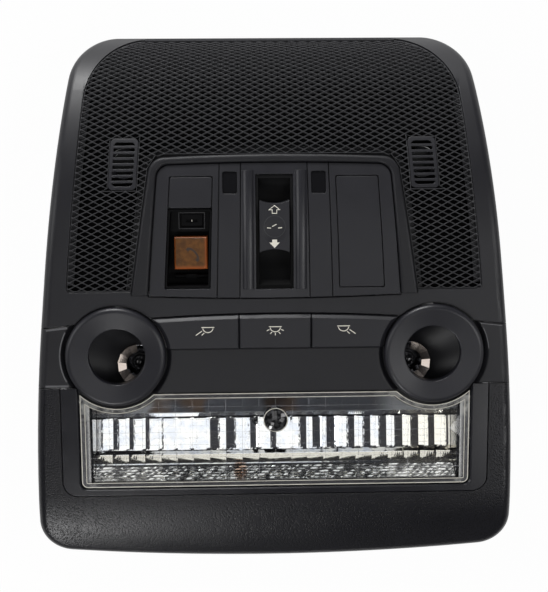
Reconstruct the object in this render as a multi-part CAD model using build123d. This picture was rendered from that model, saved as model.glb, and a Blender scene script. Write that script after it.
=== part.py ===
from build123d import *
from math import asin, cos, degrees, pi, radians, sin, sqrt
import os

# Car roof console with a dome light, two reading lamps, lamp buttons and a switch panel.
# Millimetres. The console lies on its back: +X is to the right, +Y runs to the grille's nose,
# +Z comes out of the visible face. While it is drawn, the middle of the lamp row is the origin and
# the flat part of the face is height 0. At the end everything moves so that the origin is below
# the middle of the whole console, at the height of the surface that it lies on.

# Whole console
NOSE_Y = 144.0
TAIL_Y = -99.3
BACK_Z = -64.0
WALL = 2.5
SEAM = 0.4
FIT = 0.2

# Face seen from the side: flat, then a wide bend, then a tight bend to the nose
BEND_Y = 44.4
BEND_R = 129.0
BEND_TILT = 36.0
NOSE_R = 61.0
NOSE_TILT = 72.0
ROLL_Y = -67.0
ROLL_R = 75.0
ROLL_TILT = 32.0

# Outline seen from the front: the sides taper from the waist at the lamp row
NOSE_TAPER = 15.6
SHOULDER_TAPER = 6.6
SHOULDER_Y = 73.0
EAR_L = 11.4
WAIST_Y = 8.0
TAIL_FLARE = 3.1
TAIL_SAG = 6.0
NOSE_CORNER_R = 21.7
TAIL_CORNER_R = 16.0
EDGE_R = 4.0
RIM_TAIL_Z = -17.0
RIM_NOSE_Z = -63.0

# Cross seams between the upper frame, the centre band and the lower frame
SEAM_Y = 19.6
SEAM_R = 900.0
EAR_LOW_Y = -14.3

# Grille
GRILLE_LOW_Y = 29.9
GRILLE_SIDE_LOW = 12.6
GRILLE_NOSE = 1.0
GRILLE_SIDE_TOP = 7.3
GRILLE_CORNER_R = 20.0
GRILLE_FOOT_R = 2.0
GRILLE_INSET = 0.6
GRILLE_LIP = 3.0
GRILLE_LIP_T = 1.5
FLEECE_T = 1.0
GAP_PITCH_X = 12.4
GAP_PITCH_Y = 6.2
GAP_SHARE = 0.74
GAP_MARGIN = 1.2

# Microphone vents in the grille
VENT_LOW_Y = 76.0
VENT_TOP_Y = 98.4
VENT_LEAN = 1.3
VENT_GAP = 5.1
VENT_W = 12.6
VENT_R = 1.8
VENT_RIM = 1.5
VENT_SLOTS = 8
VENT_SLAT = 1.1
MIC_R = 5.0
MIC_H = 6.0
MIC_WALL = 1.4
MIC_LOW_Z = -21.0

# Rim and panels of the switch field
RIM_LOW_Y = 28.3
RIM_W_LOW = 8.0
RIM_W_HEAD = 3.9
RIM_W_TOP = 3.3
RIM_ARCH = 1.6
RIM_CORNER_R = 7.5
RIM_RISE = 1.7
RIM_ROUND = 1.4
PANEL_LOW_Y = 26.6
PANEL_SIDE_LOW = 7.5
PANEL_SMILE = 1.3
PANEL_TOP_Y = 87.7
PANEL_SIDE_TOP = 5.6
PANEL_ARCH = 1.0
PANEL_CORNER_R = 6.0
PANEL_RISE = 0.3
STRIP_W = 10.4
STRIP_LEAN = 1.7
SWITCH_SIDE = 7.5
SWITCH_LEAN = 1.0
RIDGE_SIDE = 3.5
RIDGE_R = 3.0
RIDGE_RISE = 1.8

# Covers on the two outer panels
COVER_LOW_Y = 31.3
COVER_TOP_Y = 81.6
COVER_LEAN_OUT = 2.8
COVER_SIDE = 3.1
COVER_LEAN_IN = 1.6
COVER_R = 0.8
COVER_SPLIT_Y = 67.2

# Small windows on the two narrow strips
WINDOW_SIDE = 1.8
WINDOW_W = 6.6
WINDOW_LOW_Y = 74.0
WINDOW_TOP_Y = 83.8
WINDOW_R = 0.8
WINDOW_INSET = 0.5
WINDOW_LIGHT = 1.2

# Carrier behind the switch field, and its posts
CARRIER_T = 2.2
CARRIER_LIP = 3.0
CARRIER_TAB_Y = 21.6
POST_SIDE = 7.0
POST_LOW_Y = 25.6
POST_TOP_Y = 86.0
POST_R = 3.9

# Call compartment on the left
WELL_WALL = 0.9
WELL_FLOOR_Z = -11.0
WELL_LIP = 1.6
CALL_NEAR = 1.0
CALL_FAR = 4.5
CALL_Y = 47.05
CALL_W = 15.0
CALL_H = 14.7
CALL_TOP_Z = -3.4
CALL_T = 4.8
CALL_STEM = 6.0
CALL_TRAVEL = 1.8
LATCH_LOW_Y = 56.7
LATCH_TOP_Z = -5.6
LATCH_W = 10.2
LATCH_H = 5.9
LATCH_Y = 61.65
LATCH_SHIFT = 0.5
LATCH_INSET = 0.7
LATCH_T = 2.0
LATCH_TRAVEL = 2.4
HINGE_Y = 36.0
HINGE_R = 0.9
HINGE_LUG = 5.0

# Roof switch in the middle
RECESS_HALF = 8.5
RECESS_LOW_Y = 30.8
RECESS_TOP_Y = 82.6
RECESS_WALL = 1.0
RECESS_INSET = 0.5
RECESS_DEEP = 11.0
SCOOP_LOW_R = 17.0
SCOOP_LOW_RISE = 8.0
SCOOP_TOP_R = 12.0
SCOOP_TOP_RISE = 4.0
CAP_LOW_Y = 47.5
CAP_TOP_Y = 70.9
CAP_SAG = 1.5
CAP_T = 4.4
CAP_SIDE_GAP = 0.5
CAP_DIMPLE_R = 5.0
CAP_DIMPLE_DEEP = 0.5
CAP_PRESS = 1.0
SLIDE_TRAVEL = 3.0
SLIDER_HALF = 5.0
SLIDER_L = 10.4
SLIDER_H = 7.6
PIN_HALF = 2.5
PIN_DEEP = 4.0

# Lamp buttons
BUTTON_SPLIT_X = 16.5
BUTTON_LOW_Y = 3.1
BUTTON_RISE = 1.2
BUTTON_T = 6.2
BUTTON_BEVEL = 0.5
BUTTON_TRAVEL = 1.5
STEM_X = 32.3
STEM_W = 10.0
STEM_D = 6.0
STEM_Y = 11.5
TRAY_TOP_Z = -7.0
TRAY_T = 2.0
TRAY_TOP_Y = 20.4

# Reading lamps
LAMP_GAP = 6.1
RING_R = 23.0
RING_FLANK = 2.2
RING_SHOULDER = 0.6
RING_RISE = 2.8
RING_DISH = 1.4
RING_BORE_R = 13.0
RING_BORE_SHIFT = 0.6
RING_EDGE = 0.4
RING_GAP = 0.7
RING_BEVEL = 1.8
SEAT_R = 27.5
SEAT_T = 2.0
CONE_TOP_R = 14.8
CONE_LOW_R = 10.9
CONE_LOW_Z = -13.0
CONE_WALL = 1.5
LAMP_AIM = 10.0
LAMP_DROP = 6.7
BOWL_MID_R = 7.2
BOWL_MID_Z = -17.0
BOWL_LOW_R = 4.2
BOWL_LOW_Z = -20.0
BOWL_WALL = 1.3
BOWL_SIDES = 12
BULB_R = 3.6
BULB_TOP_Z = -15.5
HOLDER_R = 7.0
HOLDER_FLANGE_R = 9.0
HOLDER_FLANGE_T = 2.0
HOLDER_LOW_Z = -36.0
HOLDER_TAB = 3.0

# Dome lens, its bezel and its reflector
BEZEL_W = 8.4
LENS_TOP_Y = -17.5
BEZEL_FOOT = 3.6
LENS_R = 3.0
LENS_INSET = 0.4
LENS_RING_R = 24.4
BEZEL_SIDE = 8.5
BEZEL_LOW_Y = -66.4
BEZEL_R = 7.0
BEZEL_BEVEL = 0.8
LEDGE = 2.5
LEDGE_T = 2.0
BEAD_Y = -30.9
BEAD_R = 5.6
BEAD_RISE = 1.2
BEAD_DEEP = 6.0
TROUGH_SIDE = 4.1
TROUGH_WALL = 1.5
TROUGH_TOP_Y = -19.5
TROUGH_BACK_Z = -27.0
NICHE_SIDE = 5.0
NICHE_TOP_Y = -6.0
FLUTES = 22
FLUTE_TOP_Y = -35.3
FLUTE_LOW_Y = -50.0
FLUTE_TOP_Z = -24.5
FLUTE_LOW_Z = -21.5
FLUTE_DEEP = 1.0
SHELF_Y = -51.2
SHELF_Z = -17.0
SILL_Y = -55.5
SILL_Z = -15.5
TROUGH_LIP_Z = -5.5
FESTOON_X = 20.0
FESTOON_Y = -12.5
FESTOON_Z = -12.0
FESTOON_R = 4.5
FESTOON_L = 24.0
FERRULE_R = 4.0
FERRULE_L = 5.0
CRADLE_T = 2.0

# Circuit board, switch mat and rear housing
BOARD_Z = -18.5
BOARD_T = 1.6
BOARD_SIDE = 1.0
BOARD_LOW_Y = 1.0
BOARD_TOP_Y = 91.0
MAT_T = 0.8
MAT_SIDE = 3.0
MAT_LOW_Y = 4.0
MAT_TOP_Y = 19.0
MAT_PAD_R = 4.0
MAT_PAD_T = 0.25
LED_W = 3.2
LED_H = 2.8
LED_T = 1.9
HOUSE_SIDE = 6.0
HOUSE_LOW_Y = -57.0
HOUSE_TOP_Y = 92.0
HOUSE_STEP_Y = -2.0
HOUSE_WALL = 2.2
HOUSE_R = 6.0
COLUMN_R = 4.4
COLUMN_LOW_Y = -38.0
SCREW_WELL_R = 3.3
SCREW_WELL_ROOF = 5.0
SCREW_R = 1.3
SCREW_HEAD_R = 2.9
SCREW_HEAD_T = 2.0
SCREW_L = 12.0
RIB_COUNT = 5
RIB_T = 1.6
RIB_H = 6.0

# Plug socket on the rear housing
SOCKET_X = 0.0
SOCKET_Z = -48.0
SOCKET_W = 36.0
SOCKET_H = 13.0
SOCKET_WALL = 1.5
SOCKET_OUT = 7.0
SOCKET_IN = 13.0
SOCKET_FLANGE = 2.0
SOCKET_DEEP = 15.0
PIN_COLUMNS = 9
PIN_ROWS = 2
PIN_PITCH = 3.2
PIN_W = 0.9
PIN_L = 9.0

# Spring clips on towers behind the side walls
TOWER_W = 14.0
TOWER_T = 3.6
TOWER_UP_SIDE = 6.0
TOWER_UP_Y = 60.0
TOWER_UP_END = -58.0
TOWER_LOW_SIDE = 5.95
TOWER_LOW_Y = -45.0
TOWER_LOW_END = -46.0
CLIP_T = 0.8
CLIP_W = 10.0
CLIP_H = 10.0
CLIP_BULGE = 3.0

# Sizes that follow from the ones above
SEAT_Z = -WALL
LEDGE_Z = -WALL - LEDGE_T
STEM_END_Z = BOARD_Z + MAT_T + MAT_PAD_T + BUTTON_TRAVEL + FIT
NICHE_HALF = FESTOON_X + FESTOON_L / 2 + FERRULE_L + NICHE_SIDE
HOUSE_HALF = NICHE_HALF + HOUSE_SIDE
BOARD_HALF = HOUSE_HALF - BOARD_SIDE
MAT_HALF = BOARD_HALF - MAT_SIDE
POST_X = HOUSE_HALF - POST_SIDE
LAMP_X = HOUSE_HALF + LAMP_GAP + HOLDER_FLANGE_R + LAMP_AIM
WAIST_HALF = LAMP_X + RING_R + EAR_L
TAIL_HALF = WAIST_HALF + TAIL_FLARE
SHOULDER_HALF = WAIST_HALF - SHOULDER_TAPER
NOSE_HALF = WAIST_HALF - NOSE_TAPER
GRILLE_TOP_Y = NOSE_Y - GRILLE_NOSE
GRILLE_LOW_HALF = WAIST_HALF - GRILLE_SIDE_LOW
GRILLE_TOP_HALF = NOSE_HALF - GRILLE_SIDE_TOP
BEZEL_HALF = WAIST_HALF - BEZEL_SIDE
LENS_HALF = BEZEL_HALF - BEZEL_W
LENS_LOW_Y = BEZEL_LOW_Y + BEZEL_FOOT
TROUGH_HALF = LENS_HALF - TROUGH_SIDE
BEZEL_LOW = RECESS_HALF + SWITCH_SIDE
BEZEL_TOP = BEZEL_LOW - SWITCH_LEAN
RIDGE_X = RECESS_HALF + RIDGE_SIDE
SPLIT_LOW = BEZEL_LOW + STRIP_W
SPLIT_TOP = SPLIT_LOW - STRIP_LEAN
WINDOW_IN = BEZEL_TOP + WINDOW_SIDE
WINDOW_OUT = WINDOW_IN + WINDOW_W
COVER_IN_LOW = SPLIT_LOW + COVER_SIDE
COVER_IN_TOP = COVER_IN_LOW - COVER_LEAN_IN
COVER_OUT_LOW = COVER_IN_LOW + CALL_NEAR + CALL_W + CALL_FAR
COVER_OUT_TOP = COVER_OUT_LOW - COVER_LEAN_OUT
CALL_X = -(COVER_IN_LOW + CALL_NEAR + CALL_W / 2)
LATCH_X = CALL_X + LATCH_SHIFT
PANEL_LOW_HALF = COVER_OUT_LOW + PANEL_SIDE_LOW
PANEL_TOP_HALF = COVER_OUT_TOP + PANEL_SIDE_TOP
RIM_LOW_HALF = PANEL_LOW_HALF + RIM_W_LOW
RIM_TOP_HALF = PANEL_TOP_HALF + RIM_W_TOP
RIM_TOP_Y = PANEL_TOP_Y + RIM_W_HEAD
VENT_TOP_IN = RIM_TOP_HALF + VENT_GAP
VENT_LOW_IN = VENT_TOP_IN + VENT_LEAN
FLEECE_TOP = -WALL - GRILLE_LIP_T
REACH = 160.0
DEPTH = 110.0
ABOVE = 20.0


def face_curve(lift):
    """Side view of the face, moved outwards by lift, as a chain of tangent edges."""
    lean = radians(BEND_TILT)
    steep = radians(NOSE_TILT)
    nose_centre = (BEND_Y + (BEND_R - NOSE_R) * sin(lean), (BEND_R - NOSE_R) * cos(lean) - BEND_R)
    roll = CenterArc((ROLL_Y, -ROLL_R), ROLL_R + lift, 90 + ROLL_TILT, -ROLL_TILT)
    flat = Line((ROLL_Y, lift), (BEND_Y, lift))
    bend = CenterArc((BEND_Y, -BEND_R), BEND_R + lift, 90, -BEND_TILT)
    nose = CenterArc(nose_centre, NOSE_R + lift, 90 - BEND_TILT, BEND_TILT - NOSE_TILT)
    end = nose @ 1
    run = NOSE_R / 4
    slope = Line(end, (end.X + run * cos(steep), end.Y - run * sin(steep)))
    return [roll, flat, bend, nose, slope]


def under_face(lift):
    """Everything below the face when the face is moved outwards by lift."""
    curve = face_curve(lift)
    first = curve[0] @ 0
    last = curve[-1] @ 1
    below = Polyline(last, (last.X, -DEPTH), (first.X, -DEPTH), first)
    return extrude(Plane.YZ * make_face(curve + [below]), REACH, both=True)


def face_z(y):
    """Height of the face at y, between the roll at the tail and the end of the wide bend."""
    if y <= BEND_Y:
        return 0.0
    return sqrt(BEND_R**2 - (y - BEND_Y) ** 2) - BEND_R


def block(plan, low, high):
    """Plan shape raised from height low to height high."""
    return extrude(Pos(0, 0, low) * plan, high - low, dir=(0, 0, 1))


def layer(plan, top, bottom):
    """Plan shape as a plate that follows the face, between two lifts."""
    return (block(plan, -DEPTH + 1, ABOVE) & under_face(top)) - under_face(bottom)


def flip(item):
    """The same thing on the other side of the console."""
    return mirror(item, Plane.YZ)


def both_sides(item):
    """A thing and its mirror image."""
    return item + flip(item)


def box_plan(x_low, x_high, y_low, y_high, corner=0.0):
    """Rectangle in plan, with rounded corners where a radius is given."""
    plan = Pos((x_low + x_high) / 2, (y_low + y_high) / 2) * Rectangle(x_high - x_low, y_high - y_low)
    if corner > 0:
        plan = fillet(plan.vertices(), corner)
    return plan


def quad_plan(low, top, y_low, y_high, corner=0.0):
    """Four sided plan from the inner and outer edge at its low end and at its top end."""
    points = [(low[0], y_low), (low[1], y_low), (top[1], y_high), (top[0], y_high)]
    plan = make_face(Polyline(*points, close=True))
    if corner > 0:
        plan = fillet(plan.vertices(), corner)
    return plan


def lamp_discs(radius):
    """Two discs about the reading lamps."""
    return both_sides(Pos(LAMP_X, 0) * Circle(radius))


def above_seam(gap):
    """Plan of all that lies above the arched seam over the lamp buttons."""
    drop = SEAM_R - sqrt(SEAM_R**2 - REACH**2)
    top = SEAM_Y + gap
    arch = ThreePointArc((-REACH, top - drop), (0, top), (REACH, top - drop))
    rest = Polyline((REACH, top - drop), (REACH, REACH), (-REACH, REACH), (-REACH, top - drop))
    return make_face([arch, rest])


def outline(inset):
    """Plan of the whole console, moved inwards by inset."""
    tail_y = TAIL_Y + TAIL_SAG + inset
    nose_y = NOSE_Y - inset
    nose_half = NOSE_HALF - inset
    tail_half = TAIL_HALF - inset
    waist = (WAIST_HALF - inset, WAIST_Y)
    upper = ThreePointArc((nose_half, nose_y), (SHOULDER_HALF - inset, SHOULDER_Y), waist)
    lower = TangentArc(waist, (tail_half, tail_y), tangent=upper % 1)
    tail = ThreePointArc((tail_half, tail_y), (0, TAIL_Y + inset), (-tail_half, tail_y))
    nose = Line((nose_half, nose_y), (-nose_half, nose_y))
    plan = make_face([upper, lower, tail, nose, flip(upper), flip(lower)])
    nose_corners = plan.vertices().sort_by(Axis.Y)[-2:]
    plan = fillet(nose_corners, NOSE_CORNER_R - inset)
    tail_corners = plan.vertices().sort_by(Axis.Y)[:2]
    return fillet(tail_corners, TAIL_CORNER_R - inset)


def below_rim():
    """All that lies below the slanted rim where the console meets the roof lining."""
    slope = (RIM_NOSE_Z - RIM_TAIL_Z) / (NOSE_Y - TAIL_Y)
    start = RIM_TAIL_Z + slope * (-REACH - TAIL_Y)
    end = RIM_TAIL_Z + slope * (REACH - TAIL_Y)
    points = [(-REACH, start), (REACH, end), (REACH, -2 * DEPTH), (-REACH, -2 * DEPTH)]
    return extrude(Plane.YZ * make_face(Polyline(*points, close=True)), REACH, both=True)


def face_edges(body):
    """Edges where the face of the body turns down into its side walls."""
    loop = []
    for edge in body.edges():
        middle = edge.center()
        upright = edge.geom_type == GeomType.LINE and abs(edge.tangent_at(0.5).Z) > 0.99
        across = edge.geom_type == GeomType.LINE and middle.Y < NOSE_Y - 0.1
        if middle.Z > -DEPTH + 2 and not upright and not across:
            loop.append(edge)
    return loop


def make_skin():
    """Moulded skin of the whole console: rounded outer body less its hollow."""
    body = block(outline(0), -DEPTH + 1, ABOVE) & under_face(0)
    body = fillet(face_edges(body), EDGE_R)
    hollow = block(outline(WALL), -DEPTH, ABOVE) & under_face(-WALL)
    return body - hollow - below_rim()


def grille_plan(grow):
    """Opening of the grille, grown on all sides."""
    low = GRILLE_LOW_HALF + grow
    top = GRILLE_TOP_HALF + grow
    plan = quad_plan((-low, low), (-top, top), GRILLE_LOW_Y - grow, GRILLE_TOP_Y + grow)
    corners = plan.vertices().sort_by(Axis.Y)
    plan = fillet(corners[-2:], GRILLE_CORNER_R + grow)
    return fillet(plan.vertices().sort_by(Axis.Y)[:2], max(GRILLE_FOOT_R + grow, 0.5))


def arched_plan(low_half, top_half, low_y, top_y, smile, arch, corner):
    """Tapered field with a bowed foot, an arched top edge and two rounded top corners."""
    foot_y = low_y + smile
    head_y = top_y - arch
    right = Line((low_half, foot_y), (top_half, head_y))
    head = ThreePointArc((top_half, head_y), (0, top_y), (-top_half, head_y))
    if smile > 0:
        foot = ThreePointArc((-low_half, foot_y), (0, low_y), (low_half, foot_y))
    else:
        foot = Line((-low_half, foot_y), (low_half, foot_y))
    plan = make_face([right, head, flip(right), foot])
    return fillet(plan.vertices().sort_by(Axis.Y)[-2:], corner)


def rim_plan(grow):
    """Outside of the rim round the switch field."""
    return arched_plan(RIM_LOW_HALF + grow, RIM_TOP_HALF + grow, RIM_LOW_Y - grow, RIM_TOP_Y + grow,
                       0.0, RIM_ARCH, RIM_CORNER_R + grow)


def field_plan(grow):
    """Outside of the switch panels, inside the rim."""
    return arched_plan(PANEL_LOW_HALF + grow, PANEL_TOP_HALF + grow, PANEL_LOW_Y - grow,
                       PANEL_TOP_Y + grow, PANEL_SMILE, PANEL_ARCH, PANEL_CORNER_R + grow)


def strip_plan(low, top):
    """Upright stretch of the switch field between two lines that lean with the panel."""
    return quad_plan(low, top, PANEL_LOW_Y - 1, PANEL_TOP_Y + 1)


def cover_plan(grow, y_low, y_high):
    """Plan of the covers on the right hand panel, between two heights."""
    share_low = (y_low - COVER_LOW_Y) / (COVER_TOP_Y - COVER_LOW_Y)
    share_top = (y_high - COVER_LOW_Y) / (COVER_TOP_Y - COVER_LOW_Y)
    inner = COVER_IN_TOP - COVER_IN_LOW
    outer = COVER_OUT_TOP - COVER_OUT_LOW
    low = (COVER_IN_LOW + inner * share_low - grow, COVER_OUT_LOW + outer * share_low + grow)
    top = (COVER_IN_LOW + inner * share_top - grow, COVER_OUT_LOW + outer * share_top + grow)
    return quad_plan(low, top, y_low - grow, y_high + grow, COVER_R)


def vent_plan(grow):
    """Plan of the right hand microphone vent."""
    low = (VENT_LOW_IN - grow, VENT_LOW_IN + VENT_W + grow)
    top = (VENT_TOP_IN - grow, VENT_TOP_IN + VENT_W + grow)
    return quad_plan(low, top, VENT_LOW_Y - grow, VENT_TOP_Y + grow, VENT_R)


def lens_plan(grow):
    """Plan of the dome lens, which curves round the reading lamps."""
    plan = box_plan(-LENS_HALF - grow, LENS_HALF + grow, LENS_LOW_Y - grow, LENS_TOP_Y + grow)
    plan = fillet(plan.vertices().sort_by(Axis.Y)[:2], LENS_R + grow)
    return plan - lamp_discs(LENS_RING_R - grow)


def bezel_plan(grow):
    """Outside of the lens bezel, up to the seam below the ears."""
    plan = box_plan(-BEZEL_HALF - grow, BEZEL_HALF + grow, BEZEL_LOW_Y - grow, EAR_LOW_Y - SEAM)
    return fillet(plan.vertices().sort_by(Axis.Y)[:2], BEZEL_R + grow)


def tower_x(y, side):
    """Inner face of a right hand clip tower at y, which stands a fixed way inside the outline."""
    far_y = SHOULDER_Y if y > WAIST_Y else TAIL_Y + TAIL_SAG
    far_half = SHOULDER_HALF if y > WAIST_Y else TAIL_HALF
    return WAIST_HALF + (far_half - WAIST_HALF) * (y - WAIST_Y) / (far_y - WAIST_Y) - side


def tower(x, y, end):
    """Right hand clip tower that hangs from the skin down to height end."""
    plan = box_plan(x, x + TOWER_T, y - TOWER_W / 2, y + TOWER_W / 2)
    return block(plan, end, 0) & under_face(-WALL)


def upper_frame(skin):
    """Frame round the grille and the switch field, with the crossbar over the buttons."""
    opening = grille_plan(0) + rim_plan(0) + field_plan(SEAM)
    body = skin & block(above_seam(SEAM / 2), -DEPTH, ABOVE)
    body = body - block(opening + lamp_discs(RING_R + RING_GAP), -DEPTH, ABOVE)
    x = tower_x(TOWER_UP_Y, TOWER_UP_SIDE)
    return body + both_sides(tower(x, TOWER_UP_Y, TOWER_UP_END))


def in_grille(x, y, reach_x, reach_y):
    """Whether a gap of the grille lies clear of its edges, the rim and the vents."""
    share = (y - GRILLE_LOW_Y) / (GRILLE_TOP_Y - GRILLE_LOW_Y)
    side = GRILLE_LOW_HALF + (GRILLE_TOP_HALF - GRILLE_LOW_HALF) * share
    clear_x = reach_x + GAP_MARGIN
    clear_y = reach_y + GAP_MARGIN
    if abs(x) > side - clear_x or y < GRILLE_LOW_Y + clear_y or y > GRILLE_TOP_Y - clear_y:
        return False
    corner_x = GRILLE_TOP_HALF - GRILLE_CORNER_R
    corner_y = GRILLE_TOP_Y - GRILLE_CORNER_R
    if abs(x) > corner_x and y > corner_y:
        if (abs(x) - corner_x) + (y - corner_y) > GRILLE_CORNER_R - GAP_MARGIN:
            return False
    rim_share = (y - RIM_LOW_Y) / (RIM_TOP_Y - RIM_LOW_Y)
    rim_side = RIM_LOW_HALF + (RIM_TOP_HALF - RIM_LOW_HALF) * rim_share
    if y < RIM_TOP_Y + clear_y and abs(x) < rim_side + clear_x:
        return False
    beside_vent = VENT_TOP_IN - clear_x < abs(x) < VENT_LOW_IN + VENT_W + clear_x
    return not (beside_vent and VENT_LOW_Y - clear_y < y < VENT_TOP_Y + clear_y)


def grille_mesh():
    """Curved grille with staggered diamond gaps and a lip that holds it behind the frame."""
    field = grille_plan(-FIT) - rim_plan(FIT) - both_sides(vent_plan(FIT))
    plate = layer(field, -GRILLE_INSET, -WALL) - below_rim()
    lip_zone = box_plan(-REACH, REACH, GRILLE_LOW_Y + GRILLE_LIP, NOSE_Y - NOSE_CORNER_R - GRILLE_LIP)
    lip_plan = (grille_plan(GRILLE_LIP) - grille_plan(-GRILLE_LIP)) & lip_zone
    plate = plate + layer(lip_plan, -WALL, -WALL - GRILLE_LIP_T)
    half_x = GAP_PITCH_X / 2 * GAP_SHARE
    half_y = GAP_PITCH_Y * GAP_SHARE
    diamond = make_face(Polyline((half_x, 0), (0, half_y), (-half_x, 0), (0, -half_y), close=True))
    gaps = []
    rows = int((GRILLE_TOP_Y - GRILLE_LOW_Y) / GAP_PITCH_Y) + 1
    columns = int(GRILLE_LOW_HALF / GAP_PITCH_X) + 1
    for row in range(rows):
        y = GRILLE_LOW_Y + row * GAP_PITCH_Y
        for column in range(-columns, columns + 1):
            x = (column + 0.5 * (row % 2)) * GAP_PITCH_X
            if in_grille(x, y, half_x, half_y):
                gaps.append(Pos(x, y) * diamond)
    print("grille gaps", len(gaps))
    return plate - block(Sketch() + gaps, -DEPTH, ABOVE)


def grille_fleece():
    """Black acoustic fleece behind the grille, bonded to the back of its lip."""
    plan = grille_plan(GRILLE_LIP - SEAM) & outline(WALL + FIT)
    plan = plan & box_plan(-REACH, REACH, GRILLE_LOW_Y - FLEECE_T, REACH)
    collar = mic_place() * Circle(MIC_R + MIC_WALL + 2 * FIT)
    plan = plan - rim_plan(CARRIER_LIP + FIT) - both_sides(collar)
    return layer(plan, FLEECE_TOP, FLEECE_TOP - FLEECE_T) - below_rim()


def mic_vent():
    """Right hand vent: rounded frame, slats, and a collar behind for the microphone."""
    plate = layer(vent_plan(0), -GRILLE_INSET / 2, -WALL)
    pitch = (VENT_TOP_Y - VENT_LOW_Y - 2 * VENT_RIM + VENT_SLAT) / VENT_SLOTS
    slots = []
    for index in range(VENT_SLOTS):
        y_low = VENT_LOW_Y + VENT_RIM + index * pitch
        slots.append(box_plan(0, REACH, y_low, y_low + pitch - VENT_SLAT))
    plate = plate - block((Sketch() + slots) & vent_plan(-VENT_RIM), -DEPTH, ABOVE)
    collar = Circle(MIC_R + FIT + MIC_WALL) - Circle(MIC_R + FIT)
    return plate + (block(mic_place() * collar, MIC_LOW_Z, 0) & under_face(-WALL))


def mic_place():
    """Middle of the right hand vent."""
    return Pos((VENT_LOW_IN + VENT_TOP_IN + VENT_W) / 2, (VENT_LOW_Y + VENT_TOP_Y) / 2)


def microphones():
    """Capsule in the collar behind each vent."""
    return both_sides(block(mic_place() * Circle(MIC_R), MIC_LOW_Z, MIC_LOW_Z + MIC_H))


def switch_rim():
    """Raised bead round the sides and the top of the switch field."""
    plan = rim_plan(-FIT / 2) - field_plan(SEAM / 2)
    plan = plan & box_plan(-REACH, REACH, RIM_LOW_Y + SEAM / 2, REACH)
    bead = layer(plan, RIM_RISE, -WALL)
    crest = []
    for edge in bead.edges():
        middle = edge.center()
        foot = middle.Y < RIM_LOW_Y + SEAM
        across = edge.geom_type == GeomType.LINE and abs(edge.tangent_at(0.5).X) > 0.99
        if middle.Z > face_z(middle.Y) + RIM_RISE / 2 and not foot and not across:
            crest.append(edge)
    return fillet(crest, min(RIM_ROUND, 0.45 * RIM_W_TOP, 0.45 * RIM_W_HEAD))


def field_plate(plan):
    """Piece of the switch field that lies on the carrier."""
    return layer(plan & field_plan(-SEAM / 2), PANEL_RISE, -WALL)


def right_switch_panel():
    """Outer panel with the opening for its cover."""
    strip = strip_plan((SPLIT_LOW + SEAM / 2, REACH), (SPLIT_TOP + SEAM / 2, REACH))
    return field_plate(strip - cover_plan(SEAM / 2, COVER_LOW_Y, COVER_TOP_Y))


def right_window_strip():
    """Narrow strip with the opening for a small window near its top."""
    low = (BEZEL_LOW + SEAM / 2, SPLIT_LOW - SEAM / 2)
    top = (BEZEL_TOP + SEAM / 2, SPLIT_TOP - SEAM / 2)
    window = box_plan(WINDOW_IN, WINDOW_OUT, WINDOW_LOW_Y, WINDOW_TOP_Y, WINDOW_R)
    return field_plate(strip_plan(low, top) - window)


def right_window():
    """Smoked window that lies on the carrier inside its strip."""
    plan = box_plan(WINDOW_IN + FIT, WINDOW_OUT - FIT, WINDOW_LOW_Y + FIT, WINDOW_TOP_Y - FIT, WINDOW_R)
    return layer(plan, PANEL_RISE - WINDOW_INSET, -WALL)


def ridge():
    """Half round ridge beside the roof switch, along the face."""
    lift = RIDGE_RISE - RIDGE_R
    low_y = PANEL_LOW_Y + PANEL_SMILE + RIDGE_R
    top_y = PANEL_TOP_Y - PANEL_ARCH - RIDGE_R
    turn = degrees(asin((top_y - BEND_Y) / (BEND_R + lift)))
    flat = Line((low_y, lift), (BEND_Y, lift))
    bend = CenterArc((BEND_Y, -BEND_R), BEND_R + lift, 90, -turn)
    path = Pos(RIDGE_X, 0, 0) * (Plane.YZ * (Curve() + [flat, bend]))
    start = Plane(origin=(RIDGE_X, low_y, lift), x_dir=(1, 0, 0), z_dir=(0, 1, 0))
    rod = sweep(start * Circle(RIDGE_R), path=path)
    return rod - under_face(0)


def roof_switch_bezel():
    """Middle strip with a ridge on each side of the roof switch."""
    low = BEZEL_LOW - SEAM / 2
    top = BEZEL_TOP - SEAM / 2
    recess = box_plan(-RECESS_HALF, RECESS_HALF, RECESS_LOW_Y, RECESS_TOP_Y)
    return field_plate(strip_plan((-low, low), (-top, top)) - recess) + both_sides(ridge())


def right_cover(y_low, y_high):
    """Flush cover in the opening of the right hand panel."""
    return layer(cover_plan(-SEAM / 2, y_low, y_high), PANEL_RISE, -WALL)


def post_places():
    """Places of the four posts that hold the circuit board."""
    return [Pos(x, y) for x in (-POST_X, POST_X) for y in (POST_LOW_Y, POST_TOP_Y)]


def switch_carrier():
    """Plate behind the switch field, with openings for what passes through and posts for the board."""
    tab = box_plan(-MAT_HALF, MAT_HALF, CARRIER_TAB_Y, GRILLE_LOW_Y)
    plan = rim_plan(CARRIER_LIP) & box_plan(-REACH, REACH, GRILLE_LOW_Y, REACH)
    light = box_plan(WINDOW_IN + WINDOW_LIGHT, WINDOW_OUT - WINDOW_LIGHT,
                     WINDOW_LOW_Y + WINDOW_LIGHT, WINDOW_TOP_Y - WINDOW_LIGHT)
    recess = box_plan(-RECESS_HALF, RECESS_HALF, RECESS_LOW_Y, RECESS_TOP_Y)
    well = flip(cover_plan(SEAM / 2, COVER_LOW_Y, COVER_SPLIT_Y))
    plate = layer(plan + tab - both_sides(light) - recess - well, -WALL, -WALL - CARRIER_T)
    post = Circle(POST_R) - Circle(SCREW_R)
    for place in post_places():
        plate = plate + (block(place * post, BOARD_Z, 0) & under_face(-WALL - CARRIER_T))
    return plate


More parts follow.
